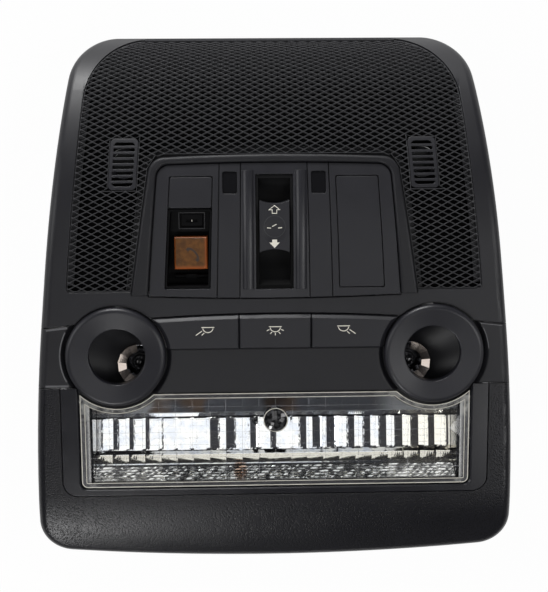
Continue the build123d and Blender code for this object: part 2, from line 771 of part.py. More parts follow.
def call_well():
    """Open tub of the call compartment, whose lip lies against the back of the carrier."""
    outer = flip(cover_plan(SEAM / 2 - FIT, COVER_LOW_Y, COVER_SPLIT_Y))
    inner = flip(cover_plan(SEAM / 2 - FIT - WELL_WALL, COVER_LOW_Y, COVER_SPLIT_Y))
    lip = flip(cover_plan(SEAM / 2 - FIT + WELL_LIP, COVER_LOW_Y, COVER_SPLIT_Y))
    tub = block(outer, WELL_FLOOR_Z - WELL_WALL, ABOVE) & under_face(-PANEL_RISE)
    tub = tub + layer(lip, -WALL - CARRIER_T, -WALL - CARRIER_T - WELL_WALL)
    tub = tub - block(inner, WELL_FLOOR_Z, ABOVE)
    stem = CALL_STEM / 2 + FIT
    tub = tub - block(Pos(CALL_X, CALL_Y) * Rectangle(2 * stem, 2 * stem), -DEPTH, ABOVE)
    lug = Cylinder(HINGE_R, HINGE_LUG, rotation=(0, 90, 0))
    rail = box_plan(CALL_X - CALL_W / 2, CALL_X + CALL_W / 2, HINGE_Y - HINGE_R, HINGE_Y + HINGE_R)
    tub = tub + block(rail, WELL_FLOOR_Z, CALL_TOP_Z - CALL_T + HINGE_R)
    for side in (-1, 1):
        middle = CALL_X + side * (CALL_W - HINGE_LUG) / 2
        tub = tub + Pos(middle, HINGE_Y, CALL_TOP_Z - CALL_T + HINGE_R) * lug
    return tub


def call_button():
    """Translucent square push button on a stem."""
    cap = block(Pos(CALL_X, CALL_Y) * Rectangle(CALL_W, CALL_H), CALL_TOP_Z - CALL_T, CALL_TOP_Z)
    cap = chamfer(cap.faces().sort_by(Axis.Z)[-1].edges(), BUTTON_BEVEL)
    stem_end = BOARD_Z + CALL_TRAVEL + 2 * FIT
    stem = block(Pos(CALL_X, CALL_Y) * Rectangle(CALL_STEM, CALL_STEM), stem_end, CALL_TOP_Z - CALL_T)
    return cap + stem


def latch_plan(grow):
    """Plan of the push latch in the call compartment."""
    return Pos(LATCH_X, LATCH_Y) * Rectangle(LATCH_W + 2 * grow, LATCH_H + 2 * grow)


def latch_housing():
    """Shelf block at the head of the call compartment, with the pocket of the latch."""
    room = flip(cover_plan(SEAM / 2 - 2 * FIT - WELL_WALL, COVER_LOW_Y, COVER_SPLIT_Y))
    plan = room & box_plan(-REACH, REACH, LATCH_LOW_Y, REACH)
    return block(plan - latch_plan(0), WELL_FLOOR_Z, LATCH_TOP_Z)


def latch_plunger():
    """Push-push latch tongue with a catch slot in its head."""
    top = LATCH_TOP_Z - LATCH_INSET
    body = block(latch_plan(-FIT), top - LATCH_T, top)
    slot = Pos(LATCH_X, LATCH_Y) * Rectangle(LATCH_W / 2, LATCH_H / 4)
    return body - block(slot, top - LATCH_T / 2, ABOVE)


def scoop(y, radius, rise):
    """Finger scoop: a cylinder lying across the recess, its middle above the face."""
    rod = Cylinder(radius, 2 * (RECESS_HALF - RECESS_WALL), rotation=(0, 90, 0))
    return Pos(0, y, face_z(y) + rise) * rod


def roof_switch_well():
    """Tub of the roof switch with a finger scoop at each end and a slot for the slider."""
    half = RECESS_HALF - FIT
    inner = half - RECESS_WALL
    tub = layer(box_plan(-half, half, RECESS_LOW_Y + FIT, RECESS_TOP_Y - FIT),
                PANEL_RISE - RECESS_INSET, -RECESS_DEEP)
    low_end = CAP_LOW_Y - SLIDE_TRAVEL - SEAM
    top_end = CAP_TOP_Y + SLIDE_TRAVEL + SEAM
    cap_floor = -CAP_T - CAP_PRESS - 2 * SEAM
    room = layer(box_plan(-inner, inner, low_end, top_end), ABOVE / 2, cap_floor)
    mouth = box_plan(-inner, inner, RECESS_LOW_Y + RECESS_WALL, RECESS_TOP_Y - RECESS_WALL)
    scoops = scoop(CAP_LOW_Y, SCOOP_LOW_R, SCOOP_LOW_RISE) + scoop(CAP_TOP_Y, SCOOP_TOP_R, SCOOP_TOP_RISE)
    tub = tub - room - (scoops & block(mouth, -DEPTH, ABOVE))
    reach = SLIDER_L / 2 + SLIDE_TRAVEL + SEAM
    middle = (CAP_LOW_Y + CAP_TOP_Y) / 2
    slot = box_plan(-SLIDER_HALF - FIT, SLIDER_HALF + FIT, middle - reach, middle + reach)
    return tub - block(slot, -DEPTH, ABOVE)


def slider_top():
    """Height of the slider's top, clear of the pressed cap."""
    return face_z(CAP_TOP_Y) - CAP_T - CAP_PRESS - SEAM


def roof_switch_slider():
    """Carriage that runs to and fro in the slot and guides the cap's pin."""
    middle = Pos(0, (CAP_LOW_Y + CAP_TOP_Y) / 2)
    plan = Rectangle(2 * SLIDER_HALF, SLIDER_L) - Rectangle(2 * (PIN_HALF + FIT), 2 * (PIN_HALF + FIT))
    return block(middle * plan, slider_top() - SLIDER_H, slider_top())


def roof_switch_cap():
    """Cap with hollowed ends and a round dimple, on a pin in the slider."""
    half = RECESS_HALF - FIT - RECESS_WALL - CAP_SIDE_GAP
    head = ThreePointArc((half, CAP_TOP_Y), (0, CAP_TOP_Y - CAP_SAG), (-half, CAP_TOP_Y))
    foot = ThreePointArc((-half, CAP_LOW_Y), (0, CAP_LOW_Y + CAP_SAG), (half, CAP_LOW_Y))
    right = Line((half, CAP_LOW_Y), (half, CAP_TOP_Y))
    cap = layer(make_face([head, foot, right, flip(right)]), 0, -CAP_T)
    middle = (CAP_LOW_Y + CAP_TOP_Y) / 2
    ball = (CAP_DIMPLE_R**2 + CAP_DIMPLE_DEEP**2) / (2 * CAP_DIMPLE_DEEP)
    dimple = Pos(0, middle, face_z(middle) + ball - CAP_DIMPLE_DEEP) * Sphere(ball)
    pin = block(Pos(0, middle) * Rectangle(2 * PIN_HALF, 2 * PIN_HALF), slider_top() - PIN_DEEP, 0)
    return cap - dimple + (pin & under_face(-CAP_T))


def button_plan(x_low, x_high):
    """Lamp button between two seams, below the arched seam and clear of the rings."""
    plan = box_plan(x_low + SEAM / 2, x_high - SEAM / 2, BUTTON_LOW_Y + SEAM / 2, SEAM_Y + SEAM)
    return plan - above_seam(-SEAM) - lamp_discs(RING_R + RING_GAP)


def lamp_button(x_low, x_high, stem_x):
    """Push button with bevelled edges and a stem through the tray."""
    cap = block(button_plan(x_low, x_high), BUTTON_RISE - BUTTON_T, BUTTON_RISE)
    rounds = cap.faces().sort_by(Axis.Z)[-1].edges().filter_by(GeomType.CIRCLE)
    cap = chamfer(rounds, RING_BEVEL)
    straights = cap.faces().sort_by(Axis.Z)[-1].edges().filter_by(GeomType.LINE)
    cap = chamfer(straights, BUTTON_BEVEL)
    stem = Pos(stem_x, STEM_Y) * Rectangle(STEM_W, STEM_D)
    return cap + block(stem, STEM_END_Z, BUTTON_RISE - BUTTON_T)


def ring_side_edges(body):
    """Edges of the face that run round the rings."""
    radius = RING_R + RING_GAP
    arcs = [e for e in body.edges() if e.geom_type == GeomType.CIRCLE and abs(e.center().Z) < FIT / 2]
    return [e for e in arcs if abs(e.radius - radius) < FIT / 2]


def centre_band(skin):
    """Band with the ears, the lip below the buttons, the ring seats and the button tray."""
    zone = box_plan(-REACH, REACH, EAR_LOW_Y, REACH) - above_seam(-SEAM / 2)
    middle = box_plan(-LAMP_X, LAMP_X, LENS_TOP_Y + SEAM / 2, BUTTON_LOW_Y)
    keys = box_plan(-LAMP_X, LAMP_X, BUTTON_LOW_Y, REACH)
    body = skin & block((zone + middle) - keys - lamp_discs(RING_R + RING_GAP), -DEPTH, ABOVE)
    body = chamfer(ring_side_edges(body), RING_BEVEL)
    seat_plan = (lamp_discs(SEAT_R) - keys) + lamp_discs(RING_R) - lamp_discs(CONE_TOP_R + FIT)
    seats = block(seat_plan, SEAT_Z - SEAT_T, SEAT_Z)
    ledge_y = LENS_TOP_Y - LEDGE
    ledge = block(box_plan(-BOARD_HALF, BOARD_HALF, ledge_y, EAR_LOW_Y), LEDGE_Z, SEAT_Z)
    tray_plan = box_plan(-BOARD_HALF, BOARD_HALF, BUTTON_LOW_Y - TRAY_T, TRAY_TOP_Y)
    tray = block(tray_plan, TRAY_TOP_Z - TRAY_T, TRAY_TOP_Z)
    wall_plan = box_plan(-BOARD_HALF, BOARD_HALF, BUTTON_LOW_Y - TRAY_T, BUTTON_LOW_Y)
    tray = tray + block(wall_plan, TRAY_TOP_Z, SEAT_Z)
    for x in (-STEM_X, 0, STEM_X):
        hole = Pos(x, STEM_Y) * Rectangle(STEM_W + 2 * FIT, STEM_D + 2 * FIT)
        tray = tray - block(hole, -DEPTH, ABOVE)
    return body + seats + ledge + tray


def lamp_ring():
    """Right hand ring: rounded flank, dished face and a bore that is shifted to the middle."""
    shoulder = (RING_R, RING_SHOULDER)
    brow = (RING_R - RING_FLANK, RING_RISE)
    fall = RING_DISH / (brow[0] - RING_BORE_R)
    flank = TangentArc(shoulder, brow, tangent=(0, 1))
    rest = Polyline(brow, (0, RING_RISE - fall * brow[0]), (0, SEAT_Z), (RING_R, SEAT_Z), shoulder)
    body = revolve(Plane.XZ * make_face([flank, rest]), Axis.Z)
    body = body - block(Pos(-RING_BORE_SHIFT, 0) * Circle(RING_BORE_R), SEAT_Z, ABOVE)
    edge = [e for e in body.edges() if e.center().Z > 0 and abs(e.length / (2 * pi) - RING_BORE_R) < 1]
    return Pos(LAMP_X, 0, 0) * fillet(edge, RING_EDGE)


def lamp_axis():
    """Middle of the right hand bulb, off the ring's middle so that the beam leans outwards."""
    return Pos(LAMP_X - LAMP_AIM, -LAMP_DROP)


def lamp_cone():
    """Right hand baffle: a collar in the ring's seat and a leaning funnel down to the reflector."""
    collar_z = SEAT_Z - SEAT_T - FIT
    top = Plane((LAMP_X, 0, collar_z))
    low = Plane((LAMP_X - LAMP_AIM, -LAMP_DROP, CONE_LOW_Z))

    def funnel(inset):
        neck = block(Pos(LAMP_X, 0) * Circle(CONE_TOP_R - inset), collar_z, SEAT_Z)
        return neck + loft([top * Circle(CONE_TOP_R - inset), low * Circle(CONE_LOW_R - inset)], ruled=True)

    return funnel(0) - funnel(CONE_WALL)


def lamp_reflector():
    """Right hand bowl of flat facets with a hole for the bulb."""
    rings = [(CONE_LOW_R - CONE_WALL, CONE_LOW_Z), (BOWL_MID_R, BOWL_MID_Z), (BOWL_LOW_R, BOWL_LOW_Z)]

    def bowl(grow):
        sections = [Pos(0, 0, z) * RegularPolygon(r + grow, BOWL_SIDES) for r, z in rings]
        return loft(sections, ruled=True)

    return lamp_axis() * (bowl(BOWL_WALL) - bowl(0))


def lamp_bulb():
    """Right hand bulb with a round head, which stands in its holder."""
    stem = block(Circle(BULB_R), BOWL_LOW_Z, BULB_TOP_Z - BULB_R)
    tip = Pos(0, 0, BULB_TOP_Z - BULB_R) * Sphere(BULB_R)
    above_holder = block(Circle(2 * BULB_R), BOWL_LOW_Z, ABOVE)
    return lamp_axis() * (stem + (tip & above_holder))


def bulb_holder():
    """Right hand twist holder with a flange against the reflector and two grips."""
    flange = block(Circle(HOLDER_FLANGE_R), BOWL_LOW_Z - HOLDER_FLANGE_T, BOWL_LOW_Z)
    barrel = block(Circle(HOLDER_R), HOLDER_LOW_Z, BOWL_LOW_Z - HOLDER_FLANGE_T)
    grip = block(Rectangle(2 * HOLDER_FLANGE_R, HOLDER_TAB), HOLDER_LOW_Z, BOWL_LOW_Z - HOLDER_FLANGE_T)
    return lamp_axis() * (flange + barrel + grip)


def lens_bezel():
    """Trim round three sides of the lens, with a ledge below the lens and a lip behind the frame."""
    below_discs = lamp_discs(SEAT_R + SEAM)
    ring_room = lamp_discs(RING_R + RING_GAP)
    window = box_plan(-LENS_HALF - SEAM / 2, LENS_HALF + SEAM / 2, LENS_LOW_Y - SEAM / 2, 0)
    window = fillet(window.vertices().sort_by(Axis.Y)[:2], LENS_R)
    trim = block(bezel_plan(-SEAM / 2) - window - ring_room, SEAT_Z, 0)
    top = trim.faces().sort_by(Axis.Z)[-1]
    inner_top = [e for e in top.edges() if abs(e.center().X) < LENS_HALF + SEAM]
    low_edge = [e for e in inner_top if LENS_LOW_Y - SEAM < e.center().Y < EAR_LOW_Y - LENS_R]
    trim = chamfer(low_edge, BEZEL_BEVEL)
    ledge_zone = box_plan(-LENS_HALF - LEDGE, LENS_HALF + LEDGE, LENS_LOW_Y - LEDGE, EAR_LOW_Y - LEDGE)
    ledge_plan = (ledge_zone & bezel_plan(0)) - lens_plan(-LEDGE) - below_discs - middle_room()
    ledge = block(ledge_plan, LEDGE_Z, SEAT_Z)
    lip = layer((bezel_plan(LEDGE) - bezel_plan(-LEDGE)) - below_discs, SEAT_Z, LEDGE_Z)
    return trim + ledge + lip


def middle_room():
    """Plan between the reading lamps, where the band carries the top edge of the lens."""
    return box_plan(-LAMP_X, LAMP_X, LENS_TOP_Y - LEDGE - SEAM, 0)


def dome_lens():
    """Clear lens with a hole for the sensor bead."""
    hole = Pos(0, BEAD_Y) * Circle(BEAD_R + FIT)
    return block(lens_plan(-SEAM / 2) - hole, SEAT_Z, -LENS_INSET)


def sensor_bead():
    """Clear round bead in the lens with a domed front."""
    ball = (BEAD_R**2 + BEAD_RISE**2) / (2 * BEAD_RISE)
    dome = Pos(0, BEAD_Y, BEAD_RISE - LENS_INSET - ball) * Sphere(ball)
    return block(Pos(0, BEAD_Y) * Circle(BEAD_R), -BEAD_DEEP, ABOVE) & dome


def dome_reflector():
    """Bright trough behind the lens: fluted back, stepped shelf and a niche for the lamps."""
    back = TROUGH_BACK_Z
    outer_low = LENS_LOW_Y + SEAM
    inner_low = outer_low + TROUGH_WALL
    outside = [(outer_low, LEDGE_Z), (outer_low, TROUGH_LIP_Z - 2 * TROUGH_WALL), (SHELF_Y, back),
               (TROUGH_TOP_Y, back), (TROUGH_TOP_Y, LEDGE_Z)]
    inside = [(inner_low, ABOVE), (inner_low, TROUGH_LIP_Z), (SILL_Y, SILL_Z), (SHELF_Y, SHELF_Z),
              (FLUTE_LOW_Y, FLUTE_LOW_Z), (FLUTE_TOP_Y, FLUTE_TOP_Z),
              (TROUGH_TOP_Y - TROUGH_WALL, FLUTE_TOP_Z), (TROUGH_TOP_Y - TROUGH_WALL, ABOVE)]
    body = extrude(Plane.YZ * make_face(Polyline(*outside, close=True)), TROUGH_HALF, both=True)
    room = extrude(Plane.YZ * make_face(Polyline(*inside, close=True)), TROUGH_HALF - TROUGH_WALL, both=True)
    niche = block(box_plan(-NICHE_HALF, NICHE_HALF, TROUGH_TOP_Y, NICHE_TOP_Y), back, LEDGE_Z)
    inner = NICHE_HALF - TROUGH_WALL
    niche_room = block(box_plan(-inner, inner, FLUTE_TOP_Y, NICHE_TOP_Y - TROUGH_WALL), FLUTE_TOP_Z, ABOVE)
    pilot = both_sides(Pos(POST_X, COLUMN_LOW_Y) * Circle(SCREW_R))
    boss = both_sides(Pos(POST_X, COLUMN_LOW_Y) * Circle(POST_R))
    body = body + niche + block(boss, back, FLUTE_LOW_Z) - room - niche_room
    pitch = 2 * (TROUGH_HALF - TROUGH_WALL) / FLUTES
    arcs = []
    for index in range(FLUTES):
        left = -TROUGH_HALF + TROUGH_WALL + index * pitch
        arcs.append(ThreePointArc((left, 0), (left + pitch / 2, -FLUTE_DEEP), (left + pitch, 0)))
    end = TROUGH_HALF - TROUGH_WALL
    arcs.append(Polyline((end, 0), (end, FLUTE_DEEP), (-end, FLUTE_DEEP), (-end, 0)))
    waves = Plane((0, FLUTE_TOP_Y, FLUTE_TOP_Z), x_dir=(1, 0, 0), z_dir=(0, -1, 0)) * make_face(arcs)
    run = Vector(0, FLUTE_LOW_Y - FLUTE_TOP_Y, FLUTE_LOW_Z - FLUTE_TOP_Z)
    body = body - extrude(waves, run.length, dir=run.normalized())
    wave_low = Plane((0, SILL_Y, SILL_Z), x_dir=(1, 0, 0), z_dir=(0, -1, 0)) * make_face(arcs)
    rise = Vector(0, inner_low - SILL_Y, TROUGH_LIP_Z - SILL_Z)
    body = body - extrude(wave_low, rise.length * 0.9, dir=rise.normalized())
    for x in cradle_places():
        cradle = box_plan(x - CRADLE_T / 2, x + CRADLE_T / 2, TROUGH_TOP_Y, NICHE_TOP_Y - TROUGH_WALL)
        body = body + block(cradle, FLUTE_TOP_Z, FESTOON_Z - FERRULE_R - FIT)
    return body - block(pilot, back, back + SCREW_WELL_ROOF / 2)


def cradle_places():
    """Places along X of the ribs under the ferrules of the dome lamps."""
    reach = (FESTOON_L + FERRULE_L) / 2
    return [side * FESTOON_X + end * reach for side in (-1, 1) for end in (-1, 1)]


def dome_lamps():
    """Two tubular lamps with metal ferrules, lying side by side in the niche."""
    glass = Cylinder(FESTOON_R, FESTOON_L, rotation=(0, 90, 0))
    cap = Cylinder(FERRULE_R, FERRULE_L, rotation=(0, 90, 0))
    reach = (FESTOON_L + FERRULE_L) / 2
    lamp = glass + Pos(reach, 0, 0) * cap + Pos(-reach, 0, 0) * cap
    return both_sides(Pos(FESTOON_X, FESTOON_Y, FESTOON_Z) * lamp)


def lower_frame(skin):
    """Grained frame round the lens end."""
    zone = box_plan(-REACH, REACH, -REACH, EAR_LOW_Y - SEAM)
    opening = bezel_plan(SEAM / 2) + box_plan(-BEZEL_HALF, BEZEL_HALF, EAR_LOW_Y - SEAM - BEZEL_R, 0)
    body = skin & block(zone - opening, -DEPTH, ABOVE)
    x = tower_x(TOWER_LOW_Y, TOWER_LOW_SIDE)
    return body + both_sides(tower(x, TOWER_LOW_Y, TOWER_LOW_END))


def circuit_board():
    """Board that lies against the carrier's posts."""
    plan = box_plan(-BOARD_HALF, BOARD_HALF, BOARD_LOW_Y, BOARD_TOP_Y, WINDOW_R)
    for place in post_places():
        plan = plan - place * Circle(SCREW_R + FIT)
    return block(plan, BOARD_Z - BOARD_T, BOARD_Z)


def switch_mat():
    """Rubber mat on the board with a pad below each button stem."""
    mat = block(box_plan(-MAT_HALF, MAT_HALF, MAT_LOW_Y, MAT_TOP_Y, WINDOW_R), BOARD_Z, BOARD_Z + MAT_T)
    for x in (-STEM_X, 0, STEM_X):
        mat = mat + block(Pos(x, STEM_Y) * Circle(MAT_PAD_R), BOARD_Z + MAT_T, BOARD_Z + MAT_T + MAT_PAD_T)
    return mat


def window_leds():
    """Small lamp chips on the board behind the two windows."""
    place = Pos((WINDOW_IN + WINDOW_OUT) / 2, (WINDOW_LOW_Y + WINDOW_TOP_Y) / 2)
    return both_sides(block(place * Rectangle(LED_W, LED_H), BOARD_Z, BOARD_Z + LED_T))


def column_places():
    """Place and top height of each screw column of the rear housing."""
    tops = [(place, BOARD_Z - BOARD_T) for place in post_places()]
    return tops + [(Pos(x, COLUMN_LOW_Y), TROUGH_BACK_Z) for x in (-POST_X, POST_X)]


def rear_housing():
    """Moulded tub behind the board and the reflector, with screw columns and ribs."""
    step_z = TROUGH_BACK_Z
    top_z = BOARD_Z - BOARD_T
    plan = box_plan(-HOUSE_HALF, HOUSE_HALF, HOUSE_LOW_Y, HOUSE_TOP_Y, HOUSE_R)
    high = plan & box_plan(-REACH, REACH, HOUSE_STEP_Y, REACH)
    room = box_plan(-HOUSE_HALF + HOUSE_WALL, HOUSE_HALF - HOUSE_WALL, HOUSE_LOW_Y + HOUSE_WALL,
                    HOUSE_TOP_Y - HOUSE_WALL, HOUSE_R - HOUSE_WALL)
    high_room = room & box_plan(-REACH, REACH, HOUSE_STEP_Y + HOUSE_WALL, REACH)
    floor_z = BACK_Z + HOUSE_WALL
    tub = block(plan, BACK_Z, step_z) + block(high, step_z, top_z)
    tub = tub - block(room, floor_z, step_z) - block(high_room, step_z, top_z)
    for index in range(RIB_COUNT):
        y = HOUSE_LOW_Y + (HOUSE_TOP_Y - HOUSE_LOW_Y) * (index + 0.5) / RIB_COUNT
        rib = box_plan(-HOUSE_HALF + HOUSE_WALL, HOUSE_HALF - HOUSE_WALL, y - RIB_T / 2, y + RIB_T / 2)
        tub = tub + block(rib, floor_z, floor_z + RIB_H)
    for place, top in column_places():
        tub = tub + block(place * Circle(COLUMN_R), BACK_Z, top)
        tub = tub - block(place * Circle(SCREW_WELL_R), BACK_Z, top - SCREW_WELL_ROOF)
        tub = tub - block(place * Circle(SCREW_R + FIT), BACK_Z, top)
    opening = socket_box(FIT, HOUSE_LOW_Y - 1, HOUSE_LOW_Y + HOUSE_WALL + 1)
    return tub - opening


def housing_screws():
    """Screws from the back of the columns into the carrier and the reflector."""
    screws = []
    for place, top in column_places():
        seat = top - SCREW_WELL_ROOF
        long = SCREW_WELL_ROOF + SCREW_WELL_ROOF / 2 - FIT
        if top > TROUGH_BACK_Z:
            long = SCREW_L
        head = block(place * Circle(SCREW_HEAD_R), seat - SCREW_HEAD_T, seat)
        screws.append(head + block(place * Circle(SCREW_R - FIT / 4), seat, seat + long))
    return Compound(children=screws)


def socket_box(grow, y_low, y_high):
    """Block of the plug socket's section between two places along Y."""
    plan = Pos(SOCKET_X, (y_low + y_high) / 2) * Rectangle(SOCKET_W + 2 * grow, y_high - y_low)
    return block(plan, SOCKET_Z - SOCKET_H / 2 - grow, SOCKET_Z + SOCKET_H / 2 + grow)


def connector_socket():
    """Shrouded plug socket through the end wall, held by a flange inside."""
    mouth = HOUSE_LOW_Y - SOCKET_OUT
    inside = HOUSE_LOW_Y + HOUSE_WALL
    body = socket_box(0, mouth, inside + SOCKET_IN)
    body = body + socket_box(SOCKET_FLANGE, inside, inside + SOCKET_FLANGE)
    return body - socket_box(-SOCKET_WALL, mouth - 1, mouth + SOCKET_DEEP)


def connector_pins():
    """Rows of contact pins that stand on the floor of the socket."""
    base = HOUSE_LOW_Y - SOCKET_OUT + SOCKET_DEEP
    pins = []
    for row in range(PIN_ROWS):
        z = SOCKET_Z + (row - (PIN_ROWS - 1) / 2) * PIN_PITCH
        for column in range(PIN_COLUMNS):
            x = SOCKET_X + (column - (PIN_COLUMNS - 1) / 2) * PIN_PITCH
            pins.append(Pos(x, base - PIN_L / 2, z) * Box(PIN_W, PIN_L, PIN_W))
    return Compound(children=pins)


def spring_clip(x, y, end):
    """Right hand bent strip that grips the end of a tower, with a bulge on its outer leg."""
    inner = x - CLIP_T / 2
    outer = x + TOWER_T + CLIP_T / 2
    low = end - CLIP_T / 2
    path = Polyline((inner, low + CLIP_H), (inner, low), (outer, low),
                    (outer + CLIP_BULGE, low + CLIP_H * 0.5), (outer, low + CLIP_H))
    strip = offset(path, CLIP_T / 2, side=Side.BOTH, kind=Kind.INTERSECTION)
    section = Plane.XZ * make_face(strip)
    return Pos(0, y, 0) * extrude(section, CLIP_W / 2, both=True)


def retaining_clips():
    """Four steel clips, one on each tower."""
    upper = spring_clip(tower_x(TOWER_UP_Y, TOWER_UP_SIDE), TOWER_UP_Y, TOWER_UP_END)
    lower = spring_clip(tower_x(TOWER_LOW_Y, TOWER_LOW_SIDE), TOWER_LOW_Y, TOWER_LOW_END)
    return Compound(children=[upper, flip(upper), lower, flip(lower)])


def make_parts():
    """All pieces by name, drawn about the lamp row."""
    skin = make_skin()
    panel = right_switch_panel()
    strip = right_window_strip()
    window = right_window()
    vent = mic_vent()
    ring = lamp_ring()
    cone = lamp_cone()
    bowl = lamp_reflector()
    bulb = lamp_bulb()
    holder = bulb_holder()
    right_button = lamp_button(BUTTON_SPLIT_X, LAMP_X, STEM_X)
    return {
        "upper_frame": upper_frame(skin),
        "centre_band": centre_band(skin),
        "lower_frame": lower_frame(skin),
        "grille_mesh": grille_mesh(),
        "grille_fleece": grille_fleece(),
        "left_mic_vent": flip(vent),
        "right_mic_vent": vent,
        "microphones": microphones(),
        "switch_rim": switch_rim(),
        "switch_carrier": switch_carrier(),
        "left_switch_panel": flip(panel),
        "right_switch_panel": panel,
        "left_window_strip": flip(strip),
        "right_window_strip": strip,
        "left_window": flip(window),
        "right_window": window,
        "roof_switch_bezel": roof_switch_bezel(),
        "blank_cover": right_cover(COVER_LOW_Y, COVER_TOP_Y),
        "call_cover": flip(right_cover(COVER_SPLIT_Y + SEAM, COVER_TOP_Y)),
        "call_well": call_well(),
        "call_button": call_button(),
        "latch_housing": latch_housing(),
        "latch_plunger": latch_plunger(),
        "roof_switch_well": roof_switch_well(),
        "roof_switch_slider": roof_switch_slider(),
        "roof_switch_cap": roof_switch_cap(),
        "left_button": flip(right_button),
        "centre_button": lamp_button(-BUTTON_SPLIT_X, BUTTON_SPLIT_X, 0),
        "right_button": right_button,
        "left_lamp_ring": flip(ring),
        "right_lamp_ring": ring,
        "left_lamp_cone": flip(cone),
        "right_lamp_cone": cone,
        "left_lamp_reflector": flip(bowl),
        "right_lamp_reflector": bowl,
        "left_lamp_bulb": flip(bulb),
        "right_lamp_bulb": bulb,
        "left_bulb_holder": flip(holder),
        "right_bulb_holder": holder,
        "lens_bezel": lens_bezel(),
        "dome_lens": dome_lens(),
        "sensor_bead": sensor_bead(),
        "dome_reflector": dome_reflector(),
        "dome_lamps": dome_lamps(),
        "circuit_board": circuit_board(),
        "switch_mat": switch_mat(),
        "window_leds": window_leds(),
        "rear_housing": rear_housing(),
        "housing_screws": housing_screws(),
        "connector_socket": connector_socket(),
        "connector_pins": connector_pins(),
        "retaining_clips": retaining_clips(),
    }


os.makedirs("parts", exist_ok=True)
to_row_frame = Pos(0, -(NOSE_Y + TAIL_Y) / 2, -BACK_Z)
for name, piece in make_parts().items():
    export_step(to_row_frame * piece, os.path.join("parts", name + ".step"))
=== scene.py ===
# %% [markdown]
# # A car's dome light console, dressed for a studio picture
# The solids come from the packed model. This lesson gives each surface its finish, swaps the coarse
# grille for a fine one, lines the dome reflector, sets mirrors into the reading lamps, draws the edges
# of the lens, prints the signs on the keys, and sets up camera and light.

# %% Load the packed model
import math
import bpy
from mathutils import Matrix, Vector
from mathutils.geometry import tessellate_polygon


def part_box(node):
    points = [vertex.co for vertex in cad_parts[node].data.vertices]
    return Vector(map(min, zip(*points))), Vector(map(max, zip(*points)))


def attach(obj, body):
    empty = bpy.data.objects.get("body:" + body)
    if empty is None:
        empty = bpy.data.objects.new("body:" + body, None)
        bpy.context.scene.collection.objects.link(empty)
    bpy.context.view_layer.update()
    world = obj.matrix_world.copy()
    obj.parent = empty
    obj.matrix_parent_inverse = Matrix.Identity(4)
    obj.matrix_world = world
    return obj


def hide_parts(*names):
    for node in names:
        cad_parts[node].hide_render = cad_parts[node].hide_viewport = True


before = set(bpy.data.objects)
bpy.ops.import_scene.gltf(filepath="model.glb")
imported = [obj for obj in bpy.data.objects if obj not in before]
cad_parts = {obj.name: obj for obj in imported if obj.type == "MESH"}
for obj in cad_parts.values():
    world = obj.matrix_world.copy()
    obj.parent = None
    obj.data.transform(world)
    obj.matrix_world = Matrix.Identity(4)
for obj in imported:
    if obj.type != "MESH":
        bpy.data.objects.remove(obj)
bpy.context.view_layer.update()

# %% [markdown]
# ## One set of coordinates
# The console is easiest to describe about the middle of its lamp row, with the flat part of the face
# as height 0, in millimetres. Two solids of the frame say where that is: the lamp rings give the row
# and the band's top gives the face. `at` turns such a point into metres of the shared frame.

# %% Places on the console
MM = 0.001
ring_low, ring_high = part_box("right_lamp_ring")
ROW_Y = (ring_low.y + ring_high.y) / 2
FACE_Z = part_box("centre_band")[1].z
LAMP_X = (ring_low.x + ring_high.x) / 2 / MM


def at(x, y, z):
    """Metres in the frame from millimetres about the lamp row."""
    return Vector((x * MM, y * MM + ROW_Y, z * MM + FACE_Z))


def span(node):
    """Lowest and highest corner of a solid, in millimetres about the lamp row."""
    middle = Vector((0, ROW_Y, FACE_Z))
    return [(corner - middle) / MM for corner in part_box(node)]


print("lamp row at", round(ROW_Y, 4), "face at", round(FACE_Z, 4), "lamps at", round(LAMP_X, 1))

# %% [markdown]
# The face is flat at first, then bends over a wide arc and a tighter one to the nose. A point on it is
# given by its way along the curve, and a lift moves the point along the face's normal.

# %% The curve of the face
BEND_Y = 44.4
BEND_R = 129.0
BEND_TILT = math.radians(36)
NOSE_R = 61.0
NOSE_TILT = math.radians(72)
BEND_END = BEND_Y + BEND_R * BEND_TILT
NOSE_END = BEND_END + NOSE_R * (NOSE_TILT - BEND_TILT)
FACE_START = -200.0
HALVINGS = 32
WAY_DIGITS = 4
known_ways = {}


def face_point(way, lift):
    """Place along Y and height of the face at a way along its curve."""
    nose_y = BEND_Y + (BEND_R - NOSE_R) * math.sin(BEND_TILT)
    nose_z = (BEND_R - NOSE_R) * math.cos(BEND_TILT) - BEND_R
    if way <= BEND_Y:
        return way, lift
    if way <= BEND_END:
        turn = (way - BEND_Y) / BEND_R
        reach = BEND_R + lift
        return BEND_Y + reach * math.sin(turn), reach * math.cos(turn) - BEND_R
    turn = min(BEND_TILT + (way - BEND_END) / NOSE_R, NOSE_TILT)
    rest = max(way - NOSE_END, 0)
    reach = NOSE_R + lift
    y = nose_y + reach * math.sin(turn) + rest * math.cos(turn)
    return y, nose_z + reach * math.cos(turn) - rest * math.sin(turn)


def face_way(y):
    """Way along the curve of the face to the place y, found by halving; known places are kept."""
    key = round(y, WAY_DIGITS)
    if key not in known_ways:
        low, high = FACE_START, NOSE_END + NOSE_R
        for _ in range(HALVINGS):
            middle = (low + high) / 2
            if face_point(middle, 0)[0] < key:
                low = middle
            else:
                high = middle
        known_ways[key] = low
    return known_ways[key]


def on_face(x, y, lift):
    """Point of the frame over the face at x and y."""
    return at(x, *face_point(face_way(y), lift))


print("way to the end of the nose", round(NOSE_END, 1))

# %% [markdown]
# ## Shader maths as plain expressions
# A finish is worked out from a few noises. Wrapping a socket in a small class lets the sums be written
# as Python sums: each operator adds a Math node. Every other node comes from `Wire.node`, which sets the
# node's settings first and then fills or links its sockets.

# %% The socket class


